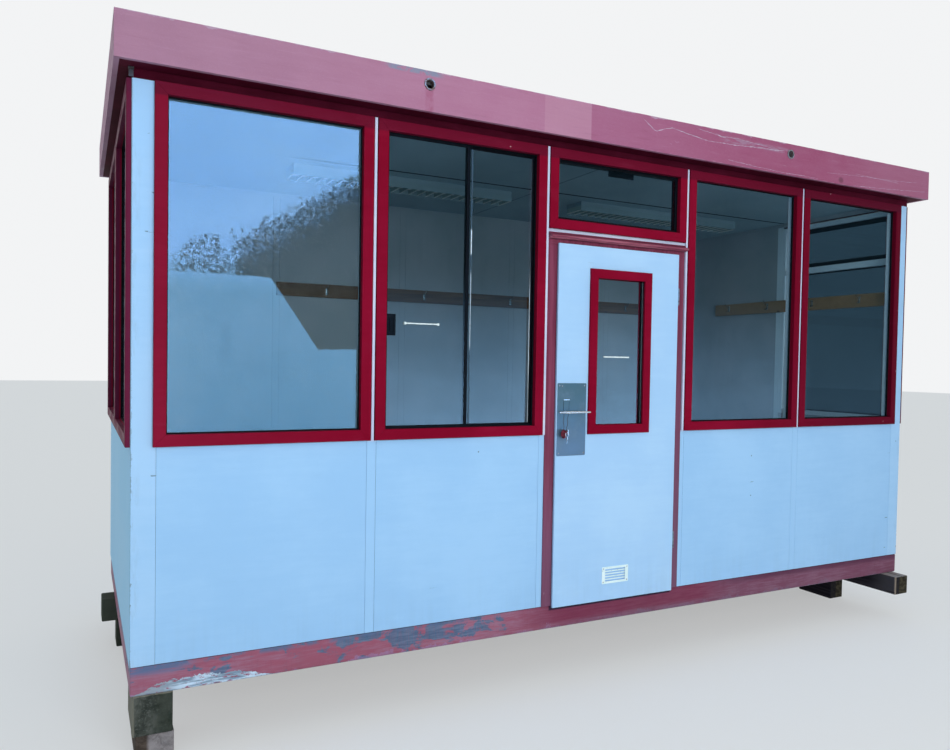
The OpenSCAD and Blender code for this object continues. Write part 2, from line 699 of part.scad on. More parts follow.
module door_window_trim() color([0.49, 0.06, 0.16]) on_front() {
    x = door_win_x;
    z0 = z_floor + door_win_z;
    translate([0, y_face, 0]) ring(x - door_win_w / 2, x + door_win_w / 2, z0, z0 + door_win_h, door_trim_w,
        trim_profile(door_trim_w, door_trim_proud, 0));
    translate([0, y_core + core_t, 0]) ring(x - door_win_w / 2, x + door_win_w / 2, z0, z0 + door_win_h,
        door_trim_w, bar_profile(door_trim_w, 0, inner_trim_t));
}

module door_glass() color([0.5, 0.62, 0.66, 0.4]) on_front() {
    x = door_win_x;
    hw = door_win_w / 2 - door_sight - seat_gap;
    z0 = z_floor + door_win_z + door_sight + seat_gap;
    z1 = z_floor + door_win_z + door_win_h - door_sight - seat_gap;
    block(x - hw, x + hw, y_core, y_core + pane_t, z0, z1);
}

module lock_plate() color("silver") on_front() {
    x0 = -leaf_w / 2 + plate_edge;
    z0 = z_floor + plate_z;
    z = z_floor + spindle_z;
    difference() {
        translate([x0, y_face, z0]) rotate([90, 0, 0]) linear_extrude(plate_t)
            rounded_rect(plate_w, plate_h, 6);
        translate([x_spindle, y_face + 1, z]) rotate([90, 0, 0])
            cylinder(h = plate_t + 2, r = neck_r + run_gap);
    }
    translate([x_spindle, y_face - plate_t, z - cylinder_drop]) rotate([90, 0, 0]) {
        cylinder(h = cylinder_out, r = cylinder_r);
        translate([-cylinder_drop_w / 2, -cylinder_drop_h, 0])
            cube([cylinder_drop_w, cylinder_drop_h - 2, cylinder_out]);
    }
}

module rounded_rect(w, h, r) polygon(concat(bend([w - r, h - r], r, 0), bend([r, h - r], r, 90),
    bend([r, r], r, 180), bend([w - r, r], r, 270)));

// Lever: a neck on the spindle that carries a turned grip with a round end and a short tail
module door_lever() color("silver") on_front() translate([x_spindle, y_face - run_gap, z_floor + spindle_z]) {
    neck = lever_out + plate_t - run_gap;
    tail_r = lever_tip_r * 0.8;
    rotate([90, 0, 0]) cylinder(h = neck, r = neck_r);
    translate([0, -neck, 0]) rotate([0, 90, 0]) rotate_extrude()
        polygon(concat(bend([0, tail_r - lever_tail], tail_r, -90), [[lever_r, 0]],
            bend([0, lever_len - lever_tip_r], lever_tip_r, 0)));
}

module vent_grille() color("white") on_front() translate([0, y_face, z_floor + vent_z]) {
    pitch = (vent_h - 20) / vent_slots;
    slot_h = pitch * 0.56;
    difference() {
        translate([-vent_w / 2, 0, -vent_h / 2]) rotate([90, 0, 0]) linear_extrude(vent_t)
            rounded_rect(vent_w, vent_h, 4);
        for (k = [0:vent_slots - 1])
            translate([0, 0, -vent_h / 2 + 10 + pitch * (k + 0.5)])
                block(-vent_w / 2 + slot_end, vent_w / 2 - slot_end, -vent_t - 1, 1, -slot_h / 2, slot_h / 2);
    }
}

// Hinges: the frame half carries the pin, the leaf half turns on it
module frame_hinges() color("silver") on_front() for (z = [hinge_low, hinge_high])
    translate([x_hinge, y_hinge, z_floor + z]) {
        translate([0, 0, -hinge_h / 2]) cylinder(h = hinge_h / 2 - 0.5, r = knuckle_r);
        translate([0, 0, -1]) cylinder(h = hinge_h / 2 - 6, r = pin_r);
        block(-4, 4, 0, -casing_t - y_hinge, -hinge_h / 2, -1);
    }

module leaf_hinges() color("silver") on_front() for (z = [hinge_low, hinge_high])
    translate([x_hinge, y_hinge, z_floor + z]) difference() {
        union() {
            cylinder(h = hinge_h / 2, r = knuckle_r);
            block(-hinge_out, 0, -4, 4, 0.5, hinge_h / 2);
        }
        translate([0, 0, -1]) cylinder(h = hinge_h / 2 - 3, r = pin_r + run_gap);
    }

// Roof
module ceiling() color("whitesmoke") block(-length / 2 + wall_t + joint, length / 2 - wall_t - joint,
    -depth / 2 + wall_t + joint, depth / 2 - wall_t - joint, z_roof - ceiling_t, z_roof);

module roof_joists() color("burlywood") {
    x_end = length / 2 - roof_joist_w / 2;
    for (k = [0:roof_joist_count - 1]) {
        x = -x_end + 2 * x_end * k / (roof_joist_count - 1);
        block(x - roof_joist_w / 2, x + roof_joist_w / 2, -roof_y + fascia_t, roof_y - fascia_t, z_roof,
            z_roof + roof_joist_h);
    }
}

// Deck and covering, with an angled fillet inside the fascia that turns the covering up
module roof_deck() color("dimgray") {
    x = roof_x - fascia_t;
    y = roof_y - fascia_t;
    z = z_roof + roof_joist_h;
    z_cover = z + roof_deck_t + covering_t;
    fillet = [[0, 0], [upstand_w, 0], [upstand_w / 3, upstand_h], [0, upstand_h]];
    cut = mitre_joint * 0.7;
    block(-x + joint, x - joint, -y + socket_flange_t + joint, y - socket_flange_t - joint, z, z_cover);
    for (s = [0, 1], end = [false, true]) rotate([0, 0, 180 * s + (end ? 90 : 0)])
        translate([0, end ? -x : -y, z_cover]) intersection() {
            translate([end ? -y : -x, 0, 0]) rotate([90, 0, 90]) linear_extrude(2 * (end ? y : x))
                polygon(fillet);
            linear_extrude(upstand_h) polygon([[-(end ? y : x) + cut, 0], [(end ? y : x) - cut, 0],
                [(end ? y : x) - upstand_w - cut, upstand_w], [-(end ? y : x) + upstand_w + cut, upstand_w]]);
        }
}

// Board along x from -half to half with mitred ends, its outer face at y = 0
module fascia_board(half) linear_extrude(fascia_h) polygon([[-half + mitre_joint, 0], [half - mitre_joint, 0],
    [half - fascia_t - mitre_joint, fascia_t], [-half + fascia_t + mitre_joint, fascia_t]]);

module fascia() color([0.62, 0.36, 0.47])
for (turn = [0, 180]) rotate([0, 0, turn]) translate([0, 0, z_fascia]) {
    translate([0, -roof_y, 0]) difference() {
        fascia_board(roof_x);
        for (sx = [-1, 1]) translate([sx * socket_x, 0, socket_z])
            rotate([90, 0, 0]) cylinder(h = 4 * fascia_t, r = socket_r + socket_gap, center = true);
    }
    translate([-roof_x, 0, 0]) rotate([0, 0, -90]) fascia_board(roof_y);
}

module soffit() color([0.36, 0.03, 0.1]) for (s = [0, 1]) {
    mirror([0, s, 0]) block(-roof_x + fascia_t, roof_x - fascia_t, -roof_y + fascia_t, -depth / 2,
        z_fascia, z_roof);
    mirror([s, 0, 0]) block(-roof_x + fascia_t, -length / 2, -depth / 2 + joint, depth / 2 - joint,
        z_fascia, z_roof);
}

// Lifting sockets: a tube through the fascia with a flange behind it
module lifting_sockets() color("gray") for (sx = [-1, 1], back = [0, 1])
    translate([sx * socket_x, 0, z_fascia + socket_z]) mirror([0, back, 0]) translate([0, -roof_y, 0])
        rotate([-90, 0, 0]) rotate_extrude()
            polygon([[socket_bore_r, -socket_proud], [socket_r - 1, -socket_proud],
                [socket_r, 1 - socket_proud], [socket_r, fascia_t], [socket_flange_r, fascia_t],
                [socket_flange_r, fascia_t + socket_flange_t], [socket_bore_r, fascia_t + socket_flange_t]]);

// Inside
module coat_rails() color([0.38, 0.27, 0.18]) {
    z = z_floor + coat_z;
    x0 = post_x(1);
    block(x0, x0 + coat_len, depth / 2 - wall_t - coat_t, depth / 2 - wall_t, z - coat_h, z);
    y0 = -depth / 2 + wall_t + end_coat_gap;
    block(length / 2 - wall_t - coat_t, length / 2 - wall_t, y0, y0 + end_coat_len, z - coat_h, z);
}

// Ceiling lights: a closed housing with a louvre of side strips and cross blades under it
module ceiling_lights() color("whitesmoke") for (s = [-1, 1])
    translate([light_shift + s * light_pitch / 2, light_back, z_roof - ceiling_t]) {
        x = light_len / 2;
        y = light_w / 2;
        z1 = -light_box_h - seat_gap;
        block(-x, x, -y, y, -light_box_h, 0);
        for (side = [0, 1]) rotate([0, 0, 180 * side]) block(-x, x, -y, -y + light_sheet, -light_h, z1);
        for (k = [0:light_blades + 1]) {
            x_blade = -x + (2 * x - light_sheet) * k / (light_blades + 1);
            block(x_blade, x_blade + light_sheet, -y + light_sheet + seat_gap, y - light_sheet - seat_gap,
                -light_h, z1);
        }
    }

// Timber supports
module left_blocks() color([0.36, 0.37, 0.3]) {
    x0 = -length / 2 + block_in;
    y0 = -depth / 2 + 2 * rail_inset;
    block(x0, x0 + block_w, y0, y0 + block_len, support_h - block_h, support_h);
    block(x0 + under_in, x0 + block_w + under_in / 2, y0 + under_in, y0 + block_len + under_in, 0,
        support_h - block_h - seat_gap);
    y1 = -depth / 2 + cross_back;
    block(-length / 2 - cross_out, -length / 2 - cross_out + cross_len, y1, y1 + bearer_w,
        support_h - cross_h, support_h);
    block(-length / 2 + under_in, -length / 2 + under_in + pack_len, y1 - under_in, y1 + bearer_w + under_in, 0,
        support_h - cross_h - seat_gap);
}

module right_blocks() color([0.33, 0.31, 0.28]) {
    x1 = length / 2 - bearer_side;
    top = support_h - side_bearer_h;
    block(x1 - side_bearer_w, x1, -depth / 2 - bearer_out, depth / 2, top, support_h);
    for (y = [-depth / 2 + pack_in, depth / 2 - pack_in - pack_len])
        block(x1 - side_bearer_w - under_in, x1 - under_in, y, y + pack_len, 0, top - seat_gap);
}

base_frame();
floor_joists();
floor_deck();
corner_posts();
front_posts();
end_posts();
front_panels_left();
front_panels_right();
left_end_panels();
right_end_panels();
back_wall();
head_beam();
front_window_frames();
left_window_frames();
right_window_frames();
front_window_trims();
left_window_trims();
right_window_trims();
window_gaskets();
front_glass();
left_end_glass();
right_end_glass();
sliding_window_frame();
sliding_sashes();
flap_sashes();
door_frame();
drip_bar();
door_leaf();
door_window_trim();
door_glass();
lock_plate();
door_lever();
vent_grille();
frame_hinges();
leaf_hinges();
ceiling();
roof_joists();
roof_deck();
fascia();
soffit();
lifting_sockets();
coat_rails();
ceiling_lights();
left_blocks();
right_blocks();
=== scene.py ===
"""Looks of a portable site cabin, built up in the order in which the cabin is put together."""
import math
import random

import bmesh
import bpy
from mathutils import Matrix, Vector


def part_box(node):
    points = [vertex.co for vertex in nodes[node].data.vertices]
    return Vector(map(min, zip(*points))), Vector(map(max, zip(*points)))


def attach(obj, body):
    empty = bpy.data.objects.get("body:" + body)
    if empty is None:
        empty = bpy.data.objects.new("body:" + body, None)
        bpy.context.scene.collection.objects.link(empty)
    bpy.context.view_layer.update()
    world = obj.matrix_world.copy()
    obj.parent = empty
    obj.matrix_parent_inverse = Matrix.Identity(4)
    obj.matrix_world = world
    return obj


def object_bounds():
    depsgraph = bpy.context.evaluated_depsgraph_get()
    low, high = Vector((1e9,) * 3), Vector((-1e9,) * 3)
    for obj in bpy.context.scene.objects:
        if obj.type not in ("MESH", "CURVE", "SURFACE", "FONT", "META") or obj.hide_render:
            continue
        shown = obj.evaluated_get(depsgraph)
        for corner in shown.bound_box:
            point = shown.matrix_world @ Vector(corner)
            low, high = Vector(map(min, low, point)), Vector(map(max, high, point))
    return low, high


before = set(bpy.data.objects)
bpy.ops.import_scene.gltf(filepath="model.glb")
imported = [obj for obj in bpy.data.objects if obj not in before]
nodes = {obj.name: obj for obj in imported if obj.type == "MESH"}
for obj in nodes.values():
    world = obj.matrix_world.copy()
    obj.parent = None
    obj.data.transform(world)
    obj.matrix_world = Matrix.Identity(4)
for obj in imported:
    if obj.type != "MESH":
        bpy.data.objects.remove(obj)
cad_low, cad_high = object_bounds()


# Base rail: folded steel channel round the foot of the cabin, welded at the corners.
# It is painted red; years of wet ground have worn the paint back to a blue-grey primer,
# most of all near the left corner, where a pale strip has flaked off the lower edge.
def add(tree, kind, feeds=None, **choices):
    """Adds one shader node. feeds sets inputs: a socket is linked, else the value is typed in."""
    node = tree.nodes.new("ShaderNode" + kind)
    for name, choice in choices.items():
        setattr(node, name, choice)
    for socket, value in (feeds or {}).items():
        if isinstance(value, bpy.types.NodeSocket):
            tree.links.new(value, node.inputs[socket])
        else:
            node.inputs[socket].default_value = value
    return node


def home(*values):
    """The node tree that the first socket among values belongs to."""
    return next(value.id_data for value in values if isinstance(value, bpy.types.NodeSocket))


def figure(operation, a, b=0.0, clamp=False):
    """One sum on two numbers."""
    sum_node = add(home(a, b), "Math", {0: a, 1: b}, operation=operation, use_clamp=clamp)
    return sum_node.outputs[0]


def times(first, *others):
    for other in others:
        first = figure("MULTIPLY", first, other)
    return first


def plus(first, *others, clamp=False):
    for other in others:
        first = figure("ADD", first, other, clamp)
    return first


def less(a, b, clamp=False):
    return figure("SUBTRACT", a, b, clamp)


def below(a, b):
    return figure("LESS_THAN", a, b)


def away(a, b):
    """How far a is from b, on either side."""
    return figure("ABSOLUTE", less(a, b))


def ramp(value, low, high, start=0.0, end=1.0):
    """A smooth rise from start to end while value goes from low to high."""
    feeds = {"Value": value, "From Min": low, "From Max": high, "To Min": start, "To Max": end}
    return add(home(value), "MapRange", feeds, interpolation_type="SMOOTHSTEP").outputs["Result"]


def coats(mask, under, over):
    """The colour under, covered by the colour over where mask is 1."""
    tree = home(mask, under, over)
    under, over = [c if isinstance(c, bpy.types.NodeSocket) else (*c, 1) for c in (under, over)]
    return add(tree, "Mix", {0: mask, 6: under, 7: over}, data_type="RGBA").outputs[2]


def noise(at, scale, detail=4.0, rough=0.55, twist=0.0):
    feeds = {"Vector": at, "Scale": scale, "Detail": detail, "Roughness": rough,
             "Distortion": twist}
    return add(home(at), "TexNoise", feeds).outputs["Fac"]


def stretched(at, x, y, z):
    """The place at, scaled by a number of its own along each axis."""
    return add(home(at), "VectorMath", {0: at, 1: (x, y, z)}, operation="MULTIPLY").outputs[0]


def scaled(at, size):
    return add(home(at), "VectorMath", {0: at, "Scale": size}, operation="SCALE").outputs[0]


def split(at):
    return add(home(at), "SeparateXYZ", {0: at}).outputs


def begin_group(name, takes, gives):
    """Starts a shader node group; takes maps each input to its value, or to None for a place."""
    group = bpy.data.node_groups.new(name, "ShaderNodeTree")
    face = group.interface
    for label, value in takes.items():
        kind = "NodeSocketVector" if value is None else "NodeSocketFloat"
        socket = face.new_socket(name=label, in_out="INPUT", socket_type=kind)
        if value is not None:
            socket.default_value = value
    for label in gives:
        face.new_socket(name=label, in_out="OUTPUT", socket_type="NodeSocketFloat")
    given, result = group.nodes.new("NodeGroupInput"), group.nodes.new("NodeGroupOutput")
    return group, given.outputs, result.inputs


def finish_group(group, sockets, **results):
    for label, value in results.items():
        group.links.new(value, sockets[label])


def placed(group, at, **others):
    """Puts a node group to use at a place; in the names of its other inputs, _ is a space."""
    feeds = {label.replace("_", " "): value for label, value in others.items()}
    return add(home(at), "Group", {0: at, **feeds}, node_tree=group).outputs


worn_patches, given, result = begin_group(
    "worn patches", {"Place": None, "Scale": 3.0, "Cover": 0.4, "Softness": 0.025}, ["Mask"])
blotch = noise(scaled(given["Place"], given["Scale"]), 1.0, 7.0, 0.66, 0.5)
edge = less(0.74, times(given["Cover"], 0.46))
finish_group(worn_patches, result, Mask=ramp(blotch, edge, plus(edge, given["Softness"])))

line_wear, given, result = begin_group(
    "line wear", {"Place": None, "Distance": 0.0, "Width": 0.01, "Scale": 12.0}, ["Mask"])
ragged = noise(given["Place"], given["Scale"], 6.0, 0.7)
reach = times(given["Width"], ramp(ragged, 0.42, 0.72, 0.0, 2.2))
finish_group(line_wear, result, Mask=below(figure("ABSOLUTE", given["Distance"]), reach))

paint_skin, given, result = begin_group(
    "paint skin", {"Place": None, "Grain": 220.0}, ["Height", "Tone"])
fine = noise(given["Place"], given["Grain"], 2.0, 0.5)
broad = noise(given["Place"], 1.7, 5.0, 0.6)
brushed = noise(stretched(given["Place"], 2.0, 2.0, 13.0), 2.2, 3.0, 0.6)
finish_group(paint_skin, result, Height=fine, Tone=plus(times(broad, 0.75), times(brushed, 0.25)))

grime, given, result = begin_group("grime", {"Place": None, "Foot": 0.3, "Reach": 0.5}, ["Mask"])
above = figure("DIVIDE", less(split(given["Place"])["Z"], given["Foot"]), given["Reach"])
fade = figure("POWER", less(1.0, above, clamp=True), 2.2)
blotch = noise(given["Place"], 5.0, 6.0, 0.65)
runs = noise(stretched(given["Place"], 26.0, 26.0, 1.3), 1.0, 4.0, 0.6)
finish_group(grime, result, Mask=times(fade, ramp(plus(blotch, runs), 0.8, 1.35)))


def new_material(name, roughness=0.5, metallic=0.0, shine=0.22, **constants):
    """A material with one Principled shader; returns it, its shader and the place on the cabin."""
    made = bpy.data.materials.new(name)
    made.use_nodes = True
    shader = made.node_tree.nodes["Principled BSDF"]
    shader.inputs["Roughness"].default_value = roughness
    shader.inputs["Metallic"].default_value = metallic
    shader.inputs["Specular IOR Level"].default_value = 0.5 if metallic else shine
    for label, value in constants.items():
        shader.inputs[label.replace("_", " ")].default_value = value
    return made, shader, add(made.node_tree, "TexCoord").outputs["Object"]


def feed(shader, colour, **others):
    """Links the colour of a shader, which is its first input, and any others by name."""
    for label, source in {0: colour, **others}.items():
        shader.id_data.links.new(source, shader.inputs[label])


def relief(shader, height, depth, strength=0.6):
    """Gives the surface a fine relief of the stated depth in metres."""
    bump = add(shader.id_data, "Bump", {"Strength": strength, "Distance": depth, "Height": height})
    shader.id_data.links.new(bump.outputs[0], shader.inputs["Normal"])


def finish_node(name, material, edge=0.0):
    """Gives a CAD node its material and, where edge is set, breaks its sharp edges."""
    piece = nodes[name]
    piece.data.materials.clear()
    piece.data.materials.append(material)
    if edge:
        piece.modifiers.new("join", "WELD").merge_threshold = 0.00002
        bevel = piece.modifiers.new("broken edges", "BEVEL")
        bevel.width, bevel.segments, bevel.limit_method = edge, 2, "ANGLE"
        bevel.angle_limit = math.radians(35)
        piece.modifiers.new("even shading", "WEIGHTED_NORMAL").weight = 80


PAINTED_EDGE = 0.0012
RAIL_FOOT, DOOR_MIDDLE, DOOR_HALF = 0.3, 0.005, 0.44


rail_paint, shader, place = new_material("rail paint", 0.55, shine=0.1)
x, y, z = split(place)
# The rail's tones pass from dark on the right to pale on the left: the paler left is more worn, and
# the darker right is partly painted shade.
lighter_left = ramp(x, 0.0, -0.9)
skin = placed(paint_skin, place, Grain=160.0)
wiped = noise(stretched(place, 95.0, 95.0, 6.0), 1.0, 5.0, 0.7)
dragged = noise(stretched(place, 5.0, 5.0, 60.0), 1.6, 5.0, 0.7)
red = coats(lighter_left, (0.185, 0.060, 0.108), (0.325, 0.096, 0.152))
pink = coats(lighter_left, (0.235, 0.110, 0.170), (0.340, 0.165, 0.250))
base = coats(ramp(plus(times(skin["Tone"], 0.5), times(dragged, 0.5)), 0.42, 0.60), red, pink)
base = coats(ramp(wiped, 0.52, 0.75, 0.0, 0.35), base,
             coats(lighter_left, (0.09, 0.035, 0.06), (0.21, 0.085, 0.14)))
most = times(ramp(x, -0.55, -0.85), ramp(x, -1.9, -1.6, 0.62, 1.0))
spread = times(most, ramp(z, 0.31, 0.40, 0.8, 1.0))
primer = placed(worn_patches, stretched(place, 1.0, 1.0, 1.9), Scale=6.5, Softness=0.05,
                Cover=plus(times(spread, 0.52), 0.10))
bare = times(primer["Mask"], ramp(wiped, 0.35, 0.70, 1.0, 0.72))
base = coats(bare, base, coats(ramp(dragged, 0.40, 0.62), (0.065, 0.130, 0.230),
                               (0.125, 0.190, 0.300)))
high_edge = times(ramp(z, 0.402, 0.424), ramp(noise(place, 9.0, 7.0, 0.75), 0.46, 0.56))
base = coats(times(high_edge, times(ramp(x, -0.6, -1.1), 0.9)), base, (0.105, 0.155, 0.275))
corner_patch = times(ramp(x, -2.28, -2.45), ramp(z, 0.375, 0.410))
base = coats(times(corner_patch, ramp(dragged, 0.36, 0.52, 0.0, 0.85)), base, (0.095, 0.155, 0.290))
under_door = ramp(away(x, DOOR_MIDDLE), DOOR_HALF + 0.005, DOOR_HALF - 0.005)
sheltered = times(ramp(away(x, 0.15), 0.85, 0.45), ramp(z, 0.318, 0.345, 0.0, 0.8))
base = coats(sheltered, base, coats(dragged, (0.150, 0.018, 0.050), (0.235, 0.048, 0.095)))
high_shade = times(ramp(z, 0.385, 0.415), ramp(x, 0.7, 1.2, 0.0, 0.7))
base = coats(high_shade, base, (0.085, 0.022, 0.055))
# Under the door a near black band runs along the top of the rail: painted shadow of the door leaf.
base = coats(times(under_door, ramp(z, 0.402, 0.407), 0.92), base, (0.020, 0.015, 0.035))
low_edge = placed(line_wear, place, Distance=less(z, RAIL_FOOT), Width=0.020, Scale=7.0)["Mask"]
base = coats(times(low_edge, ramp(wiped, 0.3, 0.6, 0.75, 0.4)), base,
             coats(lighter_left, (0.20, 0.125, 0.20), (0.33, 0.22, 0.40)))
strip = times(ramp(x, -1.93, -2.20), ramp(x, -2.62, -2.42))
flake_top = times(noise(place, 9.0, 7.0, 0.75), strip, 0.105)
torn = ramp(noise(stretched(place, 1.0, 1.0, 3.4), 24.0, 5.0, 0.7), 0.40, 0.45)
flaked = times(torn, below(less(z, RAIL_FOOT + 0.002), flake_top))
scaly = noise(stretched(place, 9.0, 9.0, 70.0), 1.0, 5.0, 0.7)
flake_tone = coats(ramp(scaly, 0.40, 0.62), (0.20, 0.29, 0.40), (0.58, 0.74, 0.92))
base = coats(flaked, base, coats(ramp(x, -2.36, -2.50), flake_tone, (0.30, 0.36, 0.44)))
soil = placed(grime, place, Foot=RAIL_FOOT, Reach=0.16)["Mask"]
base = coats(times(soil, 0.2), base, (0.07, 0.055, 0.06))
# A dark line along the rail's top edge: painted shadow under the lower edge of the wall panels.
top_line = ramp(z, 0.4275, 0.4325, 0.0, 0.75)
base = coats(top_line, base, (0.035, 0.03, 0.045))
feed(shader, base, Roughness=ramp(primer["Mask"], 0.0, 1.0, 0.48, 0.72))
step = plus(times(primer["Mask"], -0.4), times(skin["Height"], 0.25))
relief(shader, less(plus(step, times(scaly, 0.15)), flaked), 0.0009, 0.6)
finish_node("base_frame", rail_paint, PAINTED_EDGE)


# Floor: sawn softwood joists that sit in the channel, with worn boards laid on top.
# The joists are bare and show only from below; the boards show through the door and windows.
wood_grain, given, result = begin_group(
    "wood grain", {"Along X": None, "Scale": 1.0}, ["Tone", "Cracks", "Height"])
sized = scaled(given["Along X"], given["Scale"])
rings = noise(stretched(sized, 1.1, 26.0, 26.0), 1.0, 6.0, 0.62, 0.8)
fibres = noise(stretched(sized, 4.0, 260.0, 260.0), 1.0, 3.0, 0.6)
splits = noise(stretched(sized, 0.9, 46.0, 46.0), 1.0, 2.0, 0.5)
cracks = ramp(splits, 0.685, 0.72)
grain_tone = plus(times(rings, 0.75), times(fibres, 0.25))
finish_group(wood_grain, result, Tone=grain_tone, Cracks=cracks,
             Height=less(grain_tone, times(cracks, 1.2)))


def turned(place, order):
    """The place with its axes in another order, such as "YXZ" for timber that runs along Y."""
    axis = split(place)
    feeds = {k: axis[name] for k, name in enumerate(order)}
    return add(home(place), "CombineXYZ", feeds).outputs[0]


joist_timber, shader, place = new_material("joist timber", 0.75)
grain = placed(wood_grain, turned(place, "YXZ"), Scale=1.0)
base = coats(ramp(grain["Tone"], 0.35, 0.65), (0.20, 0.13, 0.075), (0.42, 0.30, 0.18))
feed(shader, coats(grain["Cracks"], base, (0.05, 0.035, 0.025)))
relief(shader, grain["Height"], 0.0008)
for name in ("floor_joists", "roof_joists"):
    finish_node(name, joist_timber, 0.002)

BOARD_WIDTH = 0.145
floor_board, shader, place = new_material("floor board", 0.6)
grain = placed(wood_grain, place, Scale=0.8)
base = coats(ramp(grain["Tone"], 0.35, 0.65), (0.13, 0.10, 0.075), (0.27, 0.21, 0.15))
board = figure("PINGPONG", split(place)["Y"], BOARD_WIDTH / 2)
base = coats(below(board, 0.0016), base, (0.02, 0.015, 0.012))
worn = placed(worn_patches, place, Scale=2.2, Cover=0.4)
feed(shader, coats(times(worn["Mask"], 0.35), base, (0.32, 0.30, 0.27)),
     Roughness=ramp(worn["Mask"], 0.0, 1.0, 0.5, 0.8))
relief(shader, grain["Height"], 0.0005)
finish_node("floor_deck", floor_board)


# Walls: painted panels between posts, with fine open joints, and a head beam on top.
# The pale paint has faint brush marks and a few scuffs, and is a little dirtier near the rail.
specks, given, result = begin_group("specks", {
    "Place": None, "Per Metre": 6.0, "Flatness": 1.0, "Size": 0.03, "Share": 0.2}, ["Mask"])
x, y, z = split(given["Place"])
level = times(plus(x, y), given["Per Metre"])
tall = times(z, given["Per Metre"], given["Flatness"])
flat = add(specks, "CombineXYZ", {0: level, 1: tall}).outputs[0]
cells = add(specks, "TexVoronoi", {"Vector": flat, "Scale": 1.0}, voronoi_dimensions="2D").outputs
drawn = add(specks, "SeparateColor", {0: cells["Color"]}).outputs[0]
finish_group(specks, result, Mask=times(below(drawn, given["Share"]),
                                        below(cells["Distance"], given["Size"])))


def beyond(a, b):
    return figure("GREATER_THAN", a, b)


END_FACE, SIDE_FACE = 2.5985, 1.0985
ROOM_END, ROOM_FRONT, BACK_STEP = 2.555, 1.062, 0.023
inside, given, result = begin_group("inside face", {"Place": None}, ["Room", "Joint"])
x, y, z = split(given["Place"])
across, deep = figure("ABSOLUTE", x), figure("ABSOLUTE", y)
reach = plus(times(beyond(y, 0.0), BACK_STEP), ROOM_FRONT)
room = times(below(across, ROOM_END), below(deep, reach))
within = times(below(across, END_FACE), below(deep, SIDE_FACE))
finish_group(inside, result, Room=room, Joint=less(within, room))


def lined(place, base, shade=(0.31, 0.39, 0.44), light=(0.40, 0.46, 0.52)):
    """Covers the faces that look into the room with a plain dull grey green."""
    mottle = noise(place, 1.3, 5.0, 0.6)
    lining = coats(ramp(mottle, 0.35, 0.7), shade, light)
    return coats(placed(inside, place)["Room"], base, lining)


WALL_LIGHT, WALL_SHADE = (0.37, 0.625, 0.93), (0.33, 0.58, 0.89)
WHITE_LINING = ((0.62, 0.80, 0.92), (0.70, 0.88, 0.98))


def pale_paint(name, light, shade, dirt, foot, chipped=0.0, marked=1.0, joint=(0.03, 0.045, 0.06)):
    """Weathered pale wall paint: light and shade are its tones, dirt the strength of soiling."""
    made, shader, place = new_material(name, 0.42, shine=0.2)
    skin = placed(paint_skin, place, Grain=150.0)
    base = coats(ramp(skin["Tone"], 0.38, 0.66), shade, light)
    smears = noise(stretched(place, 2.4, 2.4, 20.0), 1.8, 6.0, 0.75)
    base = coats(ramp(smears, 0.60, 0.80, 0.0, 0.13), base, (0.20, 0.33, 0.47))
    soil = placed(grime, place, Foot=foot, Reach=0.45)["Mask"]
    base = coats(times(soil, dirt), base, (0.17, 0.24, 0.30))
    scuffs = placed(specks, place, Per_Metre=2.2, Flatness=7.5, Size=0.05, Share=0.055)["Mask"]
    dots = placed(specks, place, Per_Metre=5.5, Flatness=1.0, Size=0.022, Share=0.03)["Mask"]
    marks = plus(times(scuffs, ramp(noise(place, 55.0), 0.48, 0.56, 0.0, 0.6)), times(dots, 0.75),
                 clamp=True)
    base = coats(times(marks, marked), base, (0.06, 0.08, 0.11))
    places = placed(inside, place)
    # Faces inside the wall's thickness, in the gaps between parts and round the openings, take the
    # joint colour; the dark default is painted shade in these recesses.
    base = coats(places["Joint"], base, joint)
    if chipped:
        corner = less(figure("ABSOLUTE", split(place)["X"]), END_FACE - 0.0005)
        chips = placed(line_wear, stretched(place, 1.0, 1.0, 0.8), Distance=corner, Width=chipped,
                       Scale=42.0)["Mask"]
        apart = ramp(noise(place, 3.4, 5.0, 0.7), 0.50, 0.58)
        low = times(ramp(split(place)["Z"], 1.6, 0.7, 0.35, 0.85), apart)
        base = coats(times(chips, low), base, (0.16, 0.19, 0.23))
        rubbed = times(ramp(figure("ABSOLUTE", corner), 0.05, 0.0),
                       ramp(noise(stretched(place, 14.0, 14.0, 3.0), 2.0, 6.0, 0.7), 0.48, 0.66,
                            0.0, 0.3))
        base = coats(rubbed, base, (0.24, 0.36, 0.50))
        base = lined(place, base, *WHITE_LINING)
    else:
        base = lined(place, base)
    # The faces of the left end are painted brighter and bluer: painted sky light on the end that
    # the soft box does not reach.
    left_face = below(split(place)["X"], -END_FACE)
    base = coats(times(left_face, 0.85), base, (0.38, 0.73, 1.0))
    feed(shader, base, Roughness=plus(ramp(skin["Tone"], 0.3, 0.7, 0.36, 0.52),
                                      times(left_face, 0.10)))
    relief(shader, skin["Height"], 0.0003, 0.4)
    return made


WALL_FOOT, SILL = 0.434, 1.40
wall_paint = pale_paint("wall paint", WALL_LIGHT, WALL_SHADE, 0.09, WALL_FOOT)
for name in ("front_panels_left", "front_panels_right", "left_end_panels", "right_end_panels",
             "back_wall"):
    finish_node(name, wall_paint, PAINTED_EDGE)
post_paint = pale_paint("post paint", (0.41, 0.655, 0.95), (0.36, 0.61, 0.91), 0.12, WALL_FOOT,
                        0.004)
for name in ("corner_posts", "end_posts"):
    finish_node(name, post_paint, PAINTED_EDGE)

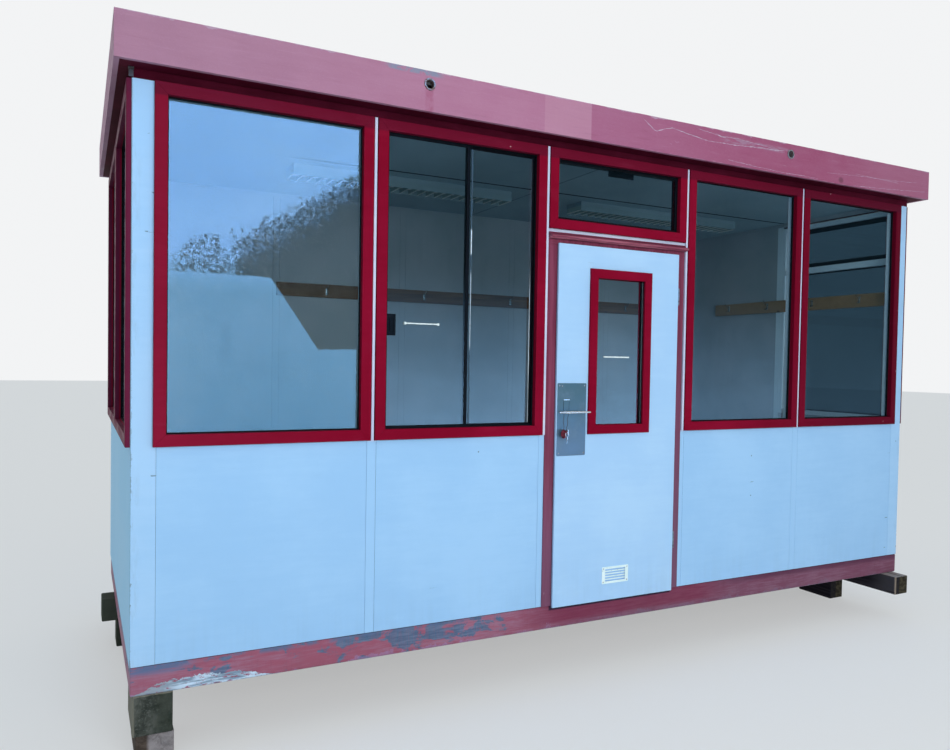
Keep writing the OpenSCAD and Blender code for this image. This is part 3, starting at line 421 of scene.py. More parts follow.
strip_paint, shader, place = new_material("cover strip paint", 0.4, shine=0.2)
x, y, z = split(place)
skin = placed(paint_skin, place, Grain=150.0)
cleaner = coats(ramp(skin["Tone"], 0.38, 0.66), (0.55, 0.62, 0.84), (0.66, 0.72, 0.90))
base = coats(ramp(z, SILL - 0.01, SILL), coats(skin["Tone"], WALL_SHADE, WALL_LIGHT), cleaner)
chips = placed(worn_patches, stretched(place, 3.0, 3.0, 1.0), Scale=9.0, Cover=0.08)["Mask"]
base = coats(times(chips, 0.6), base, (0.25, 0.14, 0.20))
feed(shader, lined(place, base, *WHITE_LINING))
relief(shader, skin["Height"], 0.0003)
finish_node("front_posts", strip_paint, PAINTED_EDGE)

# Head beam and soffit: a deep red paint, made darker still as painted shade under the eaves.
eave_shade_red_paint, shader, place = new_material("dark red paint", 0.6, shine=0.04)
skin = placed(paint_skin, place, Grain=120.0)
base = coats(ramp(skin["Tone"], 0.4, 0.65), (0.050, 0.003, 0.011), (0.085, 0.006, 0.021))
feed(shader, lined(place, base))
relief(shader, skin["Height"], 0.0004)
finish_node("head_beam", eave_shade_red_paint, 0.001)


# Windows: a white wooden frame in each bay holds a pane against a black gasket.
# A crimson metal trim, mitred at its corners, covers the joint from outside.
frame_paint, shader, place = new_material("white frame paint", 0.35)
skin = placed(paint_skin, place, Grain=140.0)
soil = placed(grime, place, Foot=SILL, Reach=0.35)["Mask"]
base = coats(ramp(skin["Tone"], 0.4, 0.65), (0.44, 0.60, 0.76), (0.52, 0.70, 0.86))
base = coats(times(soil, 0.5), base, (0.16, 0.19, 0.20))
feed(shader, lined(place, base, *WHITE_LINING))
relief(shader, skin["Height"], 0.0003)
for name in ("front_window_frames", "left_window_frames", "right_window_frames"):
    finish_node(name, frame_paint, PAINTED_EDGE)

trim_paint, shader, place = new_material("crimson trim paint", 0.38, shine=0.03)
x, y, z = split(place)
skin = placed(paint_skin, place, Grain=110.0)
base = coats(ramp(skin["Tone"], 0.36, 0.68), (0.210, 0.002, 0.019), (0.258, 0.004, 0.028))
base = coats(ramp(x, -1.6, -2.6, 0.0, 0.2), base, (0.245, 0.025, 0.06))
# Painted shade: the trims darken towards the right end, along the tops under the eaves, and on the
# left end, where they also turn more purple.
base = coats(ramp(x, 0.6, 2.3, 0.0, 0.72), base, (0.075, 0.002, 0.013))
base = coats(ramp(z, 2.925, 2.935, 0.0, 0.6), base, (0.085, 0.007, 0.024))
base = coats(ramp(x, -2.6000, -2.6010, 0.0, 0.8), base, (0.105, 0.016, 0.048))
chalk = noise(stretched(place, 1.0, 1.0, 5.0), 3.0, 6.0, 0.7)
base = coats(ramp(chalk, 0.56, 0.8, 0.0, 0.18), base, (0.30, 0.04, 0.09))
chips = placed(specks, place, Per_Metre=8.0, Flatness=1.6, Size=0.035, Share=0.1)["Mask"]
base = coats(times(chips, ramp(noise(place, 120.0), 0.45, 0.6)), base, (0.62, 0.42, 0.45))
feed(shader, base, Roughness=ramp(chalk, 0.4, 0.7, 0.36, 0.6))
relief(shader, skin["Height"], 0.0003)
for name in ("front_window_trims", "left_window_trims", "right_window_trims", "door_window_trim"):
    finish_node(name, trim_paint, PAINTED_EDGE)


def two_tone(name, finish, grain, span, under, over, uneven=None, shine=0.22, depth=0.0):
    """A material of two tones that a noise mixes: finish holds its roughness and metallic, grain
    the noise's scale and detail, span the part of it that shows, uneven the roughness's limits."""
    made, shader, place = new_material(name, *finish, shine=shine)
    tone = noise(place, *grain)
    colour = coats(ramp(tone, *span), under, over)
    feed(shader, colour)
    if uneven:
        feed(shader, colour, Roughness=ramp(tone, 0.3, 0.7, *uneven))
    if depth:
        relief(shader, tone, depth)
    return made


gasket_rubber = two_tone(
    "gasket rubber", (0.6,), (90.0, 4.0), (0.4, 0.75), (0.003, 0.004, 0.006), (0.012, 0.014, 0.018),
    (0.45, 0.8), shine=0.06, depth=0.0003)
finish_node("window_gaskets", gasket_rubber)


def larger(a, b):
    return figure("MAXIMUM", a, b)


def clear_glass(name, clear, clean=(0.62, 0.70, 0.72), filmed=(0.55, 0.62, 0.64)):
    """Float glass with a thin film of dust; light for the room passes it at the tint clear."""
    made, shader, place = new_material(name, 0.0, shine=0.5, Transmission_Weight=1.0, IOR=1.55)
    dust = noise(place, 2.4, 7.0, 0.68)
    runs = noise(stretched(place, 22.0, 22.0, 1.0), 1.2, 4.0, 0.6)
    film = times(ramp(dust, 0.4, 0.8), ramp(runs, 0.35, 0.75, 0.4, 1.0))
    feed(shader, coats(film, clean, filmed))
    tree = made.node_tree
    sheer = add(tree, "BsdfTransparent", {"Color": (*clear, 1)})
    path = add(tree, "LightPath").outputs
    room_light = larger(path["Is Shadow Ray"], path["Is Diffuse Ray"])
    through = add(tree, "MixShader", {0: room_light, 1: shader.outputs[0], 2: sheer.outputs[0]})
    tree.links.new(through.outputs[0], tree.nodes["Material Output"].inputs["Surface"])
    return made


window_glass = clear_glass("window glass", (0.88, 0.94, 0.98))
for name in ("front_glass", "door_glass"):
    finish_node(name, window_glass)
finish_node("left_end_glass", clear_glass("left end glass", (0.35, 0.45, 0.52)))
# The right end pane is made nearly black: painted shade standing in for the dark space beyond it.
finish_node("right_end_glass", clear_glass(
    "darkened right end glass", (0.55, 0.62, 0.66), (0.036, 0.072, 0.105), (0.030, 0.060, 0.090)))


# Opening lights: black coated aluminium sections. The second bay slides, with a black latch
# on the left stile; the light over the door and the upper light at the right end tilt.
sash_metal = two_tone(
    "black sash metal", (0.42,), (45.0, 5.0, 0.65), (0.5, 0.8), (0.003, 0.004, 0.006),
    (0.010, 0.013, 0.018), (0.3, 0.5), shine=0.08)
for name in ("sliding_window_frame", "sliding_sashes", "flap_sashes"):
    finish_node(name, sash_metal, 0.0008)


def new_piece(name, mesh_maker, material, body):
    """Makes a mesh with bmesh, gives it a material and lets it ride on a body."""
    mesh = bpy.data.meshes.new(name)
    made = bmesh.new()
    mesh_maker(made)
    bmesh.ops.recalc_face_normals(made, faces=made.faces)
    made.to_mesh(mesh)
    made.free()
    piece = bpy.data.objects.new(name, mesh)
    bpy.context.scene.collection.objects.link(piece)
    mesh.materials.append(material)
    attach(piece, body)
    return piece


def soft_block(made, low, high, edge):
    """Adds a block between two corners with rounded edges to a bmesh."""
    low, high = Vector(low), Vector(high)
    corners = bmesh.ops.create_cube(made, size=1.0)["verts"]
    for corner in corners:
        corner.co = Vector(low[i] + (corner.co[i] + 0.5) * (high[i] - low[i]) for i in range(3))
    edges = list(dict.fromkeys(e for c in corners for e in c.link_edges))
    bmesh.ops.bevel(made, geom=edges, offset=edge, segments=3, profile=0.5, affect="EDGES")


def block_piece(name, material, body, blocks):
    """Makes a piece of rounded blocks, each given by two corners and the size of its rounding."""
    def shape(made):
        for low, high, edge in blocks:
            soft_block(made, low, high, edge)

    new_piece(name, shape, material, body)


# Window latch: a small black case, screwed to the left stile of the sliding sash.
# Two ribs on its slide give the thumb a hold.
block_piece("sliding_latch", sash_metal, "cabin", [
    ((-1.440, -SIDE_FACE, 1.925), (-1.379, -1.0885, 2.033), 0.003),
    ((-1.414, -1.103, 1.943), (-1.406, -1.098, 2.015), 0.0015),
    ((-1.393, -1.103, 1.943), (-1.385, -1.098, 2.015), 0.0015)])

# Pull bar: a slim bar of white plastic, moulded with two feet.
# It is fixed to the sliding pane beside the latch.
pull_plastic = two_tone("white pull bar", (0.35,), (60.0, 4.0), (0.4, 0.7),
                        (0.80, 0.90, 0.92), (0.62, 0.74, 0.78))
block_piece("sash_pull", pull_plastic, "cabin", [
    ((-1.331, -1.098, 1.9850), (-1.140, -1.0915, 1.9925), 0.0025),
    ((-1.333, -SIDE_FACE, 1.9820), (-1.321, -1.0838, 1.9960), 0.0025),
    ((-1.149, -SIDE_FACE, 1.9815), (-1.138, -1.0838, 1.9950), 0.0025)])

# Glazing beads: two slim metal strips, pressed in beside the stiles.
# They hold the inner pane; near white bands on them at set heights are painted highlights.
bead_with_glints, shader, place = new_material("glazing bead with painted glints", 0.3, 0.3)
x, y, z = split(place)
# Painted highlights: near white bands on the left bead at two heights and down the upper right
# bead, over dark metal.
left_one = below(x, -0.8)
upper = ramp(away(z, 2.434), 0.075, 0.055)
lower = ramp(away(z, 2.070), 0.22, 0.18, 0.0, 0.45)
on_left = larger(upper, lower)
on_right = times(ramp(z, 2.45, 2.0, 0.05, 0.8), ramp(noise(place, 4.0), 0.35, 0.6, 0.5, 1.0))
lit = add(home(place), "Mix", {0: left_one, 2: on_right, 3: on_left}).outputs[0]
feed(shader, coats(lit, coats(left_one, (0.006, 0.008, 0.010), (0.06, 0.10, 0.13)),
                   (0.85, 0.93, 0.96)), Roughness=ramp(noise(place, 60.0), 0.3, 0.7, 0.25, 0.45))

block_piece("glazing_beads", bead_with_glints, "cabin", [
    ((-0.9500, -1.070, 1.47), (-0.9440, -1.066, 2.92), 0.0012),
    ((-0.5832, -1.070, 1.47), (-0.5794, -1.066, 2.92), 0.0010)])


# Door frame: jambs and head painted red, faded to a dusty mauve where the rain hits them.
# A drip bar with a thick nose is screwed over the head.
jamb_paint, shader, place = new_material("faded jamb paint", 0.55, shine=0.1)
x, y, z = split(place)
skin = placed(paint_skin, place, Grain=130.0)
streaks = noise(stretched(place, 38.0, 38.0, 1.4), 1.0, 5.0, 0.65)
base = coats(ramp(streaks, 0.36, 0.66), (0.165, 0.030, 0.062), (0.245, 0.055, 0.105))
base = coats(ramp(z, 1.5, 0.6, 0.0, 0.7), base,
             coats(streaks, (0.15, 0.055, 0.105), (0.24, 0.125, 0.21)))
right_side = ramp(x, 0.3, 0.4)
base = coats(times(right_side, ramp(z, 2.2, 1.3, 0.0, 0.5)), base, (0.150, 0.075, 0.130))
knocks = placed(worn_patches, stretched(place, 2.0, 2.0, 0.8), Scale=6.0, Cover=0.12)
base = coats(times(knocks["Mask"], 0.7), base, (0.42, 0.30, 0.38))
feed(shader, base)
relief(shader, less(skin["Height"], knocks["Mask"]), 0.0004)
finish_node("door_frame", jamb_paint, PAINTED_EDGE)

drip_paint, shader, place = new_material("drip bar paint", 0.42, shine=0.12)
skin = placed(paint_skin, place, Grain=130.0)
chalk = noise(stretched(place, 1.5, 20.0, 20.0), 2.0, 6.0, 0.7)
base = coats(ramp(chalk, 0.42, 0.62), (0.22, 0.050, 0.088), (0.38, 0.120, 0.175))
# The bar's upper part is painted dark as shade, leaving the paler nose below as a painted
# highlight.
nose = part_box("drip_bar")[0].z
base = coats(ramp(split(place)["Z"], nose + 0.019, nose + 0.023, 0.0, 0.85), base,
             (0.120, 0.014, 0.040))
feed(shader, base)
relief(shader, skin["Height"], 0.0004)
finish_node("drip_bar", drip_paint, 0.001)


# Door leaf: a flat painted face that laps over the frame, a little whiter than the walls,
# with a slim trimmed window, a vent at the foot and two lift-off hinges.
LEAF_FOOT = 0.426
leaf_paint = pale_paint("door leaf paint", (0.435, 0.675, 0.955), (0.385, 0.625, 0.925), 0.14,
                        LEAF_FOOT, marked=0.15, joint=(0.34, 0.42, 0.47))
shader = leaf_paint.node_tree.nodes["Principled BSDF"]
painted = shader.inputs["Base Color"].links[0].from_socket
x, y, z = split(add(leaf_paint.node_tree, "TexCoord").outputs["Object"])
OPENING_HALF_WIDTH, OPENING_MIDDLE, OPENING_HALF_HEIGHT = 0.1722, 1.8695, 0.4235
# The faces of the window opening cut through the leaf are painted near black: painted shade in the
# recess.
beside = below(figure("ABSOLUTE", x), OPENING_HALF_WIDTH)
between = below(away(z, OPENING_MIDDLE), OPENING_HALF_HEIGHT)
feed(shader, coats(times(beside, between), painted, (0.010, 0.014, 0.020)))
finish_node("door_leaf", leaf_paint, 0.0015)

vent_plastic, shader, place = new_material("vent plastic", 0.5)
dull = noise(place, 22.0, 5.0, 0.6)
soil = placed(specks, place, Per_Metre=90.0, Flatness=1.0, Size=0.25, Share=0.12)["Mask"]
base = coats(ramp(dull, 0.35, 0.7), (0.72, 0.90, 0.93), (0.82, 0.96, 0.99))
feed(shader, coats(times(soil, 0.4), base, (0.12, 0.15, 0.16)))
finish_node("vent_grille", vent_plastic, 0.0008)

hinge_steel = two_tone(
    "hinge steel", (0.4, 0.85), (55.0, 5.0, 0.65), (0.45, 0.7), (0.24, 0.26, 0.29),
    (0.12, 0.08, 0.07), (0.35, 0.65))
for name in ("frame_hinges", "leaf_hinges"):
    finish_node(name, hinge_steel, 0.0006)


# Pane bar: a slim bar of white plastic across the middle of the door's pane.
# It is stuck to the outer face of the glass.
pane_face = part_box("door_glass")[0].y
block_piece("pane_bar", pull_plastic, "door", [
    ((-0.105, pane_face - 0.0040, 1.837), (0.079, pane_face + 0.0002, 1.845), 0.0015)])


VENT_SCREW, SCREW_SIDES = 0.0035, 16


def screw_head(made, centre, radius, turn):
    """Adds a domed screw head with a dip in its middle, facing the front, to a bmesh."""
    x, y, z = centre
    turns = [turn + 2 * math.pi * k / SCREW_SIDES for k in range(SCREW_SIDES)]
    rings = []
    for share, out in ((1.0, 0.0), (0.92, 0.45), (0.62, 0.85), (0.30, 0.95)):
        rings.append([made.verts.new((x + radius * share * math.cos(a), y - radius * 0.45 * out,
                                      z + radius * share * math.sin(a))) for a in turns])
    hub = made.verts.new((x, y - radius * 0.25, z))
    following = [(k + 1) % SCREW_SIDES for k in range(SCREW_SIDES)]
    for inner, outer in zip(rings[1:], rings[:-1]):
        for k, after in enumerate(following):
            made.faces.new((outer[k], outer[after], inner[after], inner[k]))
    for k, after in enumerate(following):
        made.faces.new((rings[-1][k], rings[-1][after], hub))


def vent_screws(made):
    """One screw in each corner of the vent."""
    low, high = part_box("vent_grille")
    columns, rows = (low.x + 0.009, high.x - 0.009), (low.z + 0.010, high.z - 0.010)
    for k, (x, z) in enumerate([(x, z) for z in rows for x in columns]):
        screw_head(made, (x, low.y, z), VENT_SCREW, 0.4 * k)


screw_steel = two_tone("screw steel", (0.45, 0.9), (300.0, 4.0), (0.4, 0.7),
                       (0.42, 0.43, 0.44), (0.12, 0.09, 0.07))
new_piece("vent_screws", vent_screws, screw_steel, "door")


# Door furniture: a dull sheet steel plate with a lever, a lock and a key left in it.
# The plate is held by a screw in each corner; an oval dark red tag hangs on the key ring.
plate_steel, shader, place = new_material("plate steel", 0.42, 0.45)
x, y, z = split(place)
lines = noise(stretched(place, 5.0, 5.0, 240.0), 1.0, 3.0, 0.6)
bloom = noise(place, 9.0, 5.0, 0.6)
# The plate passes from blue grey at its foot to dark slate green at its top: a painted reflection.
base = coats(ramp(z, 1.30, 1.68), (0.125, 0.205, 0.300), (0.080, 0.150, 0.180))
base = coats(ramp(bloom, 0.45, 0.75, 0.0, 0.35), base, (0.22, 0.32, 0.42))
feed(shader, base, Roughness=ramp(bloom, 0.3, 0.7, 0.34, 0.56))
relief(shader, lines, 0.0001, 0.4)
finish_node("lock_plate", plate_steel, 0.0005)

lever_steel = two_tone(
    "lever steel", (0.22, 0.95), (70.0, 4.0, 0.6), (0.4, 0.75), (0.92, 0.93, 0.95),
    (0.70, 0.72, 0.74), (0.16, 0.36))
finish_node("door_lever", lever_steel, 0.0004)

plate_low, plate_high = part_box("lock_plate")
plate_front = plate_low.y + 0.005
PLATE_SCREW = 0.0048


def plate_screws(made):
    """One screw in each corner of the plate, and a fifth beside the upper left one."""
    columns = plate_low.x + 0.012, plate_high.x - 0.012
    rows = plate_low.z + 0.014, plate_high.z - 0.014
    spots = [(x, z) for x in columns for z in rows]
    spots.append((plate_low.x + 0.030, plate_high.z - 0.016))
    for k, (x, z) in enumerate(spots):
        screw_head(made, (x, plate_front, z), PLATE_SCREW, 0.7 * k)


new_piece("plate_screws", plate_screws, screw_steel, "door")


def wire(made, path, radius, sides=8):
    """Adds a round bar with closed ends that follows a path of points to a bmesh."""
    path = [Vector(p) for p in path]
    rings = []
    across = None
    for k, point in enumerate(path):
        along = (path[min(k + 1, len(path) - 1)] - path[max(k - 1, 0)]).normalized()
        across = along.orthogonal() if across is None else across - along * across.dot(along)
        across.normalize()
        other = along.cross(across)
        rings.append([made.verts.new(point + radius * (across * math.cos(a) + other * math.sin(a)))
                      for a in [2 * math.pi * j / sides for j in range(sides)]])
    for first, second in zip(rings, rings[1:]):
        for j in range(sides):
            made.faces.new((first[j], first[(j + 1) % sides], second[(j + 1) % sides], second[j]))
    made.faces.new(rings[0])
    made.faces.new(rings[-1][::-1])


LOCK = Vector((-0.376, plate_front - 0.005, 1.416))


def key_shape(made):
    """A cylinder key with a flat bow, in the lock, and a small second key on its ring."""
    ring = LOCK + Vector((-0.002, -0.028, -0.014))
    shank = (LOCK, (-0.0014, -0.012, -0.004), (0.0014, 0.0, 0.004), 0.0006)
    bow = (LOCK, (-0.0018, -0.036, -0.012), (0.0018, -0.011, 0.016), 0.0014)
    small_bow = (ring, (-0.003, -0.008, -0.027), (0.0, 0.006, -0.010), 0.0012)
    small_shank = (ring, (-0.0025, -0.004, -0.048), (-0.0010, 0.003, -0.026), 0.0006)
    for start, low, high, edge in (shank, bow):
        soft_block(made, start + Vector(low), start + Vector(high), edge)
    wire(made, [ring + Vector((0.012 * math.sin(t), 0.002 * math.sin(t), 0.012 * math.cos(t)))
                for t in [2 * math.pi * k / 24 for k in range(25)]], 0.0011, 6)
    for start, low, high, edge in (small_bow, small_shank):
        soft_block(made, start + Vector(low), start + Vector(high), edge)


new_piece("door_key", key_shape, lever_steel, "door")


# Slot over the lever: a short bright steel bar, and under it a flat steel guide with two
# raised sides, fixed to the plate and running down to the lever.
block_piece("lock_slot_bar", lever_steel, "door", [
    ((-0.384, plate_front - 0.0050, 1.5935), (-0.344, plate_front, 1.5985), 0.0014)])
block_piece("lock_slot_guide", plate_steel, "door", [
    ((-0.381, plate_front - 0.0012, 1.530), (-0.346, plate_front + 0.0002, 1.590), 0.0005),
    ((-0.384, plate_front - 0.0040, 1.530), (-0.379, plate_front + 0.0002, 1.590), 0.0012),
    ((-0.348, plate_front - 0.0040, 1.530), (-0.343, plate_front + 0.0002, 1.590), 0.0012)])

dark_wire = two_tone("dark tie wire", (0.5, 0.6), (260.0, 4.0), (0.4, 0.7),
                     (0.05, 0.045, 0.045), (0.12, 0.07, 0.05))


def tie_shape(made):
    """Two strands of thin wire that hang behind the lever, down to the key."""
    strands = ((Vector((-0.394, -1.147, 1.520)), LOCK + Vector((-0.016, -0.014, 0.006))),
               (Vector((-0.362, -1.147, 1.520)), LOCK + Vector((0.0025, -0.016, 0.014))))
    for turn, (top, foot) in enumerate(strands):
        path = [top.lerp(foot, k / 12) + Vector((0.0025 * math.sin(k * 0.9 + turn), 0, 0))
                for k in range(13)]
        wire(made, path, 0.0013, 6)


new_piece("key_wire", tie_shape, dark_wire, "door")

tag_plastic, shader, place = new_material("red tag plastic", 0.4, shine=0.15)
rubbed = noise(place, 70.0, 5.0, 0.7)
base = coats(ramp(rubbed, 0.36, 0.56), (0.020, 0.006, 0.010), (0.14, 0.014, 0.028))
base = coats(ramp(noise(place, 130.0, 3.0), 0.60, 0.70, 0.0, 0.7), base, (0.34, 0.17, 0.17))
feed(shader, base)
relief(shader, rubbed, 0.0005)

TAG, TAG_SIDES = Vector((-0.394, -1.150, 1.406)), 36
TAG_HALF_WIDTH, TAG_HALF_HEIGHT = 0.0175, 0.025


def tag_shape(made):
    """An oval tag with a raised rim."""
    outline = ((1.0, 0.0), (1.0, -0.003), (0.92, -0.0038), (0.86, -0.0028), (0.2, -0.0026))
    rings = []
    for share, y in outline:
        across, tall = TAG_HALF_WIDTH * share, TAG_HALF_HEIGHT * share
        rings.append([made.verts.new(TAG + Vector((across * math.cos(a), y, tall * math.sin(a))))
                      for a in [2 * math.pi * k / TAG_SIDES for k in range(TAG_SIDES)]])
    for outer, inner in zip(rings, rings[1:]):
        for k in range(TAG_SIDES):
            after = (k + 1) % TAG_SIDES
            made.faces.new((outer[k], outer[after], inner[after], inner[k]))
    made.faces.new(rings[-1])
    made.faces.new(rings[0][::-1])


new_piece("key_tag", tag_shape, tag_plastic, "door")


# Ceiling: white painted boards, fixed up under the roof joists.
# Dark joints stay open between them, one along the room and the others 2.44 m apart across it.
ceiling_paint, shader, place = new_material("ceiling paint", 0.6)
x, y, z = split(place)
skin = placed(paint_skin, place, Grain=60.0)
base = coats(ramp(skin["Tone"], 0.35, 0.7), (0.36, 0.50, 0.58), (0.42, 0.57, 0.66))
CEILING_BOARD, FIRST_JOINT = 2.44, 0.105
long_joint = below(away(y, -0.035), 0.013)
from_joint = figure("PINGPONG", less(x, FIRST_JOINT), CEILING_BOARD / 2)
cross_joint = below(from_joint, 0.003)
joints = larger(times(long_joint, ramp(x, -1.9, -1.2)), times(cross_joint, beyond(x, -1.0)))
feed(shader, coats(joints, base, (0.01, 0.012, 0.014)))
relief(shader, less(times(skin["Height"], 0.2), joints), 0.002)
finish_node("ceiling", ceiling_paint)


# Ceiling lights: two folded white sheet housings, screwed up under the ceiling.
# Each holds two glass tubes behind louvre blades, whose lower edges carry a painted highlight.
light_paint, shader, place = new_material("light fitting finish", 0.3)
x, y, z = split(place)
LOUVRE_TOP, BLADE_FOOT = 2.9895, 2.956
bright = below(z, LOUVRE_TOP)
edge_on = below(z, BLADE_FOOT)
base = coats(bright, (0.27, 0.38, 0.44), (0.25, 0.36, 0.41))
light_low, light_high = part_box("ceiling_lights")
middle = away(y, (light_low.y + light_high.y) / 2)
# The blades' lower edges are near white as a painted highlight; their sides are a duller grey.
blade = times(bright, below(middle, (light_high.y - light_low.y) / 2 - 0.0022))
base = coats(blade, base, coats(edge_on, (0.36, 0.48, 0.46), (0.97, 0.99, 1.0)))
feed(shader, base, Roughness=ramp(noise(place, 30.0), 0.3, 0.7, 0.3, 0.5))
finish_node("ceiling_lights", light_paint, 0.0004)

tube_glass = two_tone("light tube", (0.25,), (4.0,), (0.3, 0.7),
                      (0.72, 0.80, 0.84), (0.62, 0.70, 0.74))
LIGHT_LENGTH, TUBE_RADIUS, TUBE_GAP = 1.56, 0.008, 0.02
TUBE_INSET, TUBE_DROP = 0.052, 0.0385


def smooth(piece):
    for face in piece.data.polygons:
        face.use_smooth = True


def tube_shape(made):
    """Two straight tubes in each housing, a little shorter than it."""
    for start in (light_low.x, light_high.x - LIGHT_LENGTH):
        for y in (light_low.y + TUBE_INSET, light_high.y - TUBE_INSET):
            path = [(start + TUBE_GAP + (LIGHT_LENGTH - 2 * TUBE_GAP) * k / 6, y,
                     light_high.z - TUBE_DROP) for k in range(7)]
            wire(made, path, TUBE_RADIUS, 12)


smooth(new_piece("light_tubes", tube_shape, tube_glass, "cabin"))


# Roof: a boarded deck with a dark covering that turns up along the edge boards.
# The covering is gritted felt, laid in strips that lap over each other.
roof_felt, shader, place = new_material("roof covering", 0.85)
x, y, z = split(place)
grit = noise(place, 320.0, 3.0, 0.7)
weather = noise(place, 1.6, 6.0, 0.65)
base = coats(ramp(grit, 0.35, 0.7), (0.045, 0.050, 0.055), (0.13, 0.14, 0.15))
base = coats(ramp(weather, 0.48, 0.72, 0.0, 0.6), base, (0.15, 0.17, 0.13))
FELT_WIDTH = 1.0
lap = below(figure("PINGPONG", plus(x, FELT_WIDTH / 2), FELT_WIDTH / 2), 0.006)
feed(shader, coats(lap, base, (0.02, 0.02, 0.022)))
relief(shader, less(grit, lap), 0.002)
finish_node("roof_deck", roof_felt, 0.001)


# Edge boards: deep painted boards round the roof, mitred at the corners. The red has faded to a
# dusty pink; each long side is two boards, the right one a fresher coat, with cracks and scrapes.
fascia_paint, shader, place = new_material("faded edge board paint", 0.5, shine=0.1)
x, y, z = split(place)
skin = placed(paint_skin, place, Grain=120.0)
brush = noise(stretched(place, 1.6, 1.6, 22.0), 3.0, 7.0, 0.72)
BOARDS_MEET, SPLICE = -0.291, -0.592
second_board = ramp(x, BOARDS_MEET - 0.003, BOARDS_MEET + 0.003)
faded = coats(ramp(x, -2.6, -0.6), (0.375, 0.190, 0.285), (0.415, 0.170, 0.285))
fresher = coats(ramp(x, -0.3, 1.3), (0.370, 0.130, 0.238), (0.325, 0.082, 0.168))
fresher = coats(ramp(x, 1.6, 2.3), fresher, (0.350, 0.112, 0.200))
base = coats(second_board, faded, fresher)
spliced = times(ramp(x, SPLICE - 0.003, SPLICE + 0.003), less(1.0, second_board))
base = coats(spliced, base, (0.455, 0.215, 0.325))
lilac = times(ramp(away(x, 0.97), 0.34, 0.22), ramp(away(z, 3.178), 0.022, 0.010))
lilac = times(lilac, ramp(noise(stretched(place, 2.0, 2.0, 9.0), 5.0, 7.0, 0.75), 0.44, 0.56, 0.0,
                          0.6))
base = coats(lilac, base, (0.36, 0.27, 0.38))
base = coats(ramp(skin["Tone"], 0.40, 0.66, 0.0, 0.30), base,
             coats(second_board, (0.50, 0.27, 0.39), (0.40, 0.17, 0.28)))
base = coats(ramp(brush, 0.52, 0.78, 0.0, 0.40), base,
             coats(second_board, (0.33, 0.15, 0.24), (0.24, 0.065, 0.135)))
base = coats(ramp(brush, 0.44, 0.22, 0.0, 0.35), base, (0.52, 0.30, 0.42))
scraped = placed(worn_patches, stretched(place, 0.35, 0.35, 4.0), Scale=5.0, Cover=0.18)
base = coats(times(scraped["Mask"], second_board, 0.6), base, (0.50, 0.32, 0.41))
BOARD_TOP, BOARD_FOOT = 3.228, 3.030
top_edge = placed(line_wear, place, Distance=less(z, BOARD_TOP), Width=0.006, Scale=9.0)["Mask"]
low_edge = placed(line_wear, place, Distance=less(z, BOARD_FOOT), Width=0.003, Scale=14.0)["Mask"]
base = coats(times(top_edge, 0.7), base, (0.48, 0.36, 0.48))
base = coats(times(low_edge, 0.4), base, (0.42, 0.26, 0.36))
near_hook = times(ramp(away(x, -1.34), 0.17, 0.11), ramp(z, 3.198, 3.209))
bare = times(near_hook, ramp(noise(place, 26.0, 6.0, 0.7), 0.44, 0.50))
base = coats(bare, base, (0.25, 0.26, 0.37))
under_hook = times(ramp(away(x, -1.262), 0.030, 0.012), below(z, 3.150))
base = coats(times(under_hook, ramp(noise(place, 30.0, 5.0), 0.35, 0.6, 0.2, 0.55)), base,
             (0.33, 0.085, 0.17))
notch = add(home(place), "VectorMath",
            {0: stretched(place, 1.0, 0.0, 1.3), 1: (1.74, 0.0, 3.975)},
            operation="DISTANCE").outputs["Value"]
base = coats(ramp(notch, 0.034, 0.012, 0.0, 0.7), base, (0.14, 0.04, 0.07))
grit = noise(place, 260.0, 2.0, 0.5)
base = coats(ramp(grit, 0.55, 0.75, 0.0, 0.25), base, (0.52, 0.30, 0.40))
feed(shader, base, Roughness=ramp(brush, 0.3, 0.7, 0.42, 0.62))
relief(shader, less(plus(skin["Height"], brush), times(larger(scraped["Mask"], bare), 0.8)), 0.0005,
       0.5)
finish_node("fascia", fascia_paint)
finish_node("soffit", eave_shade_red_paint, 0.001)


# Corner clip: a small clip folded from dark steel strip.
# It is screwed under the soffit at the left corner.
block_piece("soffit_clip", dark_wire, "cabin", [
    ((-2.616, -1.122, 3.0215), (-2.592, -1.100, 3.0295), 0.001),
    ((-2.614, -1.112, 2.9900), (-2.594, -1.108, 3.0225), 0.001)])


# Cracks: fine splits along the grain of the right edge board, with pale chipped paint at their
# edges. Each is a thin ribbon that wanders over the board's face.
crack_filler = two_tone("open crack edge", (0.7,), (90.0, 4.0), (0.4, 0.6),
                        (0.42, 0.30, 0.42), (0.60, 0.52, 0.66))

# Each crack: half its greatest width, then the points that it runs through.
CRACKS = [
    (0.0024, [(0.064, 3.206), (0.105, 3.180), (0.150, 3.151), (0.168, 3.148), (0.215, 3.166),
              (0.278, 3.182), (0.360, 3.172), (0.455, 3.160), (0.560, 3.148), (0.670, 3.151),
              (0.790, 3.154), (0.905, 3.161), (1.030, 3.168), (1.150, 3.173), (1.205, 3.176)]),
    (0.0014, [(0.46, 3.214), (0.53, 3.203), (0.66, 3.190), (0.80, 3.196), (0.95, 3.186),
              (1.08, 3.181)]),
    (0.0014, [(0.72, 3.058), (0.82, 3.052), (1.00, 3.045), (1.17, 3.040), (1.35, 3.041),
              (1.52, 3.040)]),
    (0.0016, [(0.295, 3.112), (0.315, 3.106), (0.335, 3.109)]),
    (0.0014, [(0.260, 3.092), (0.285, 3.088)]),
    (0.0010, [(1.88, 3.118), (2.10, 3.112), (2.36, 3.106)]),
    (0.0010, [(1.60, 3.090), (1.95, 3.108), (2.25, 3.116), (2.54, 3.134)]),
    (0.0010, [(1.86, 3.036), (2.20, 3.052), (2.66, 3.082)]),
    (0.0040, [(0.62, 3.200), (0.66, 3.190), (0.70, 3.187)])]
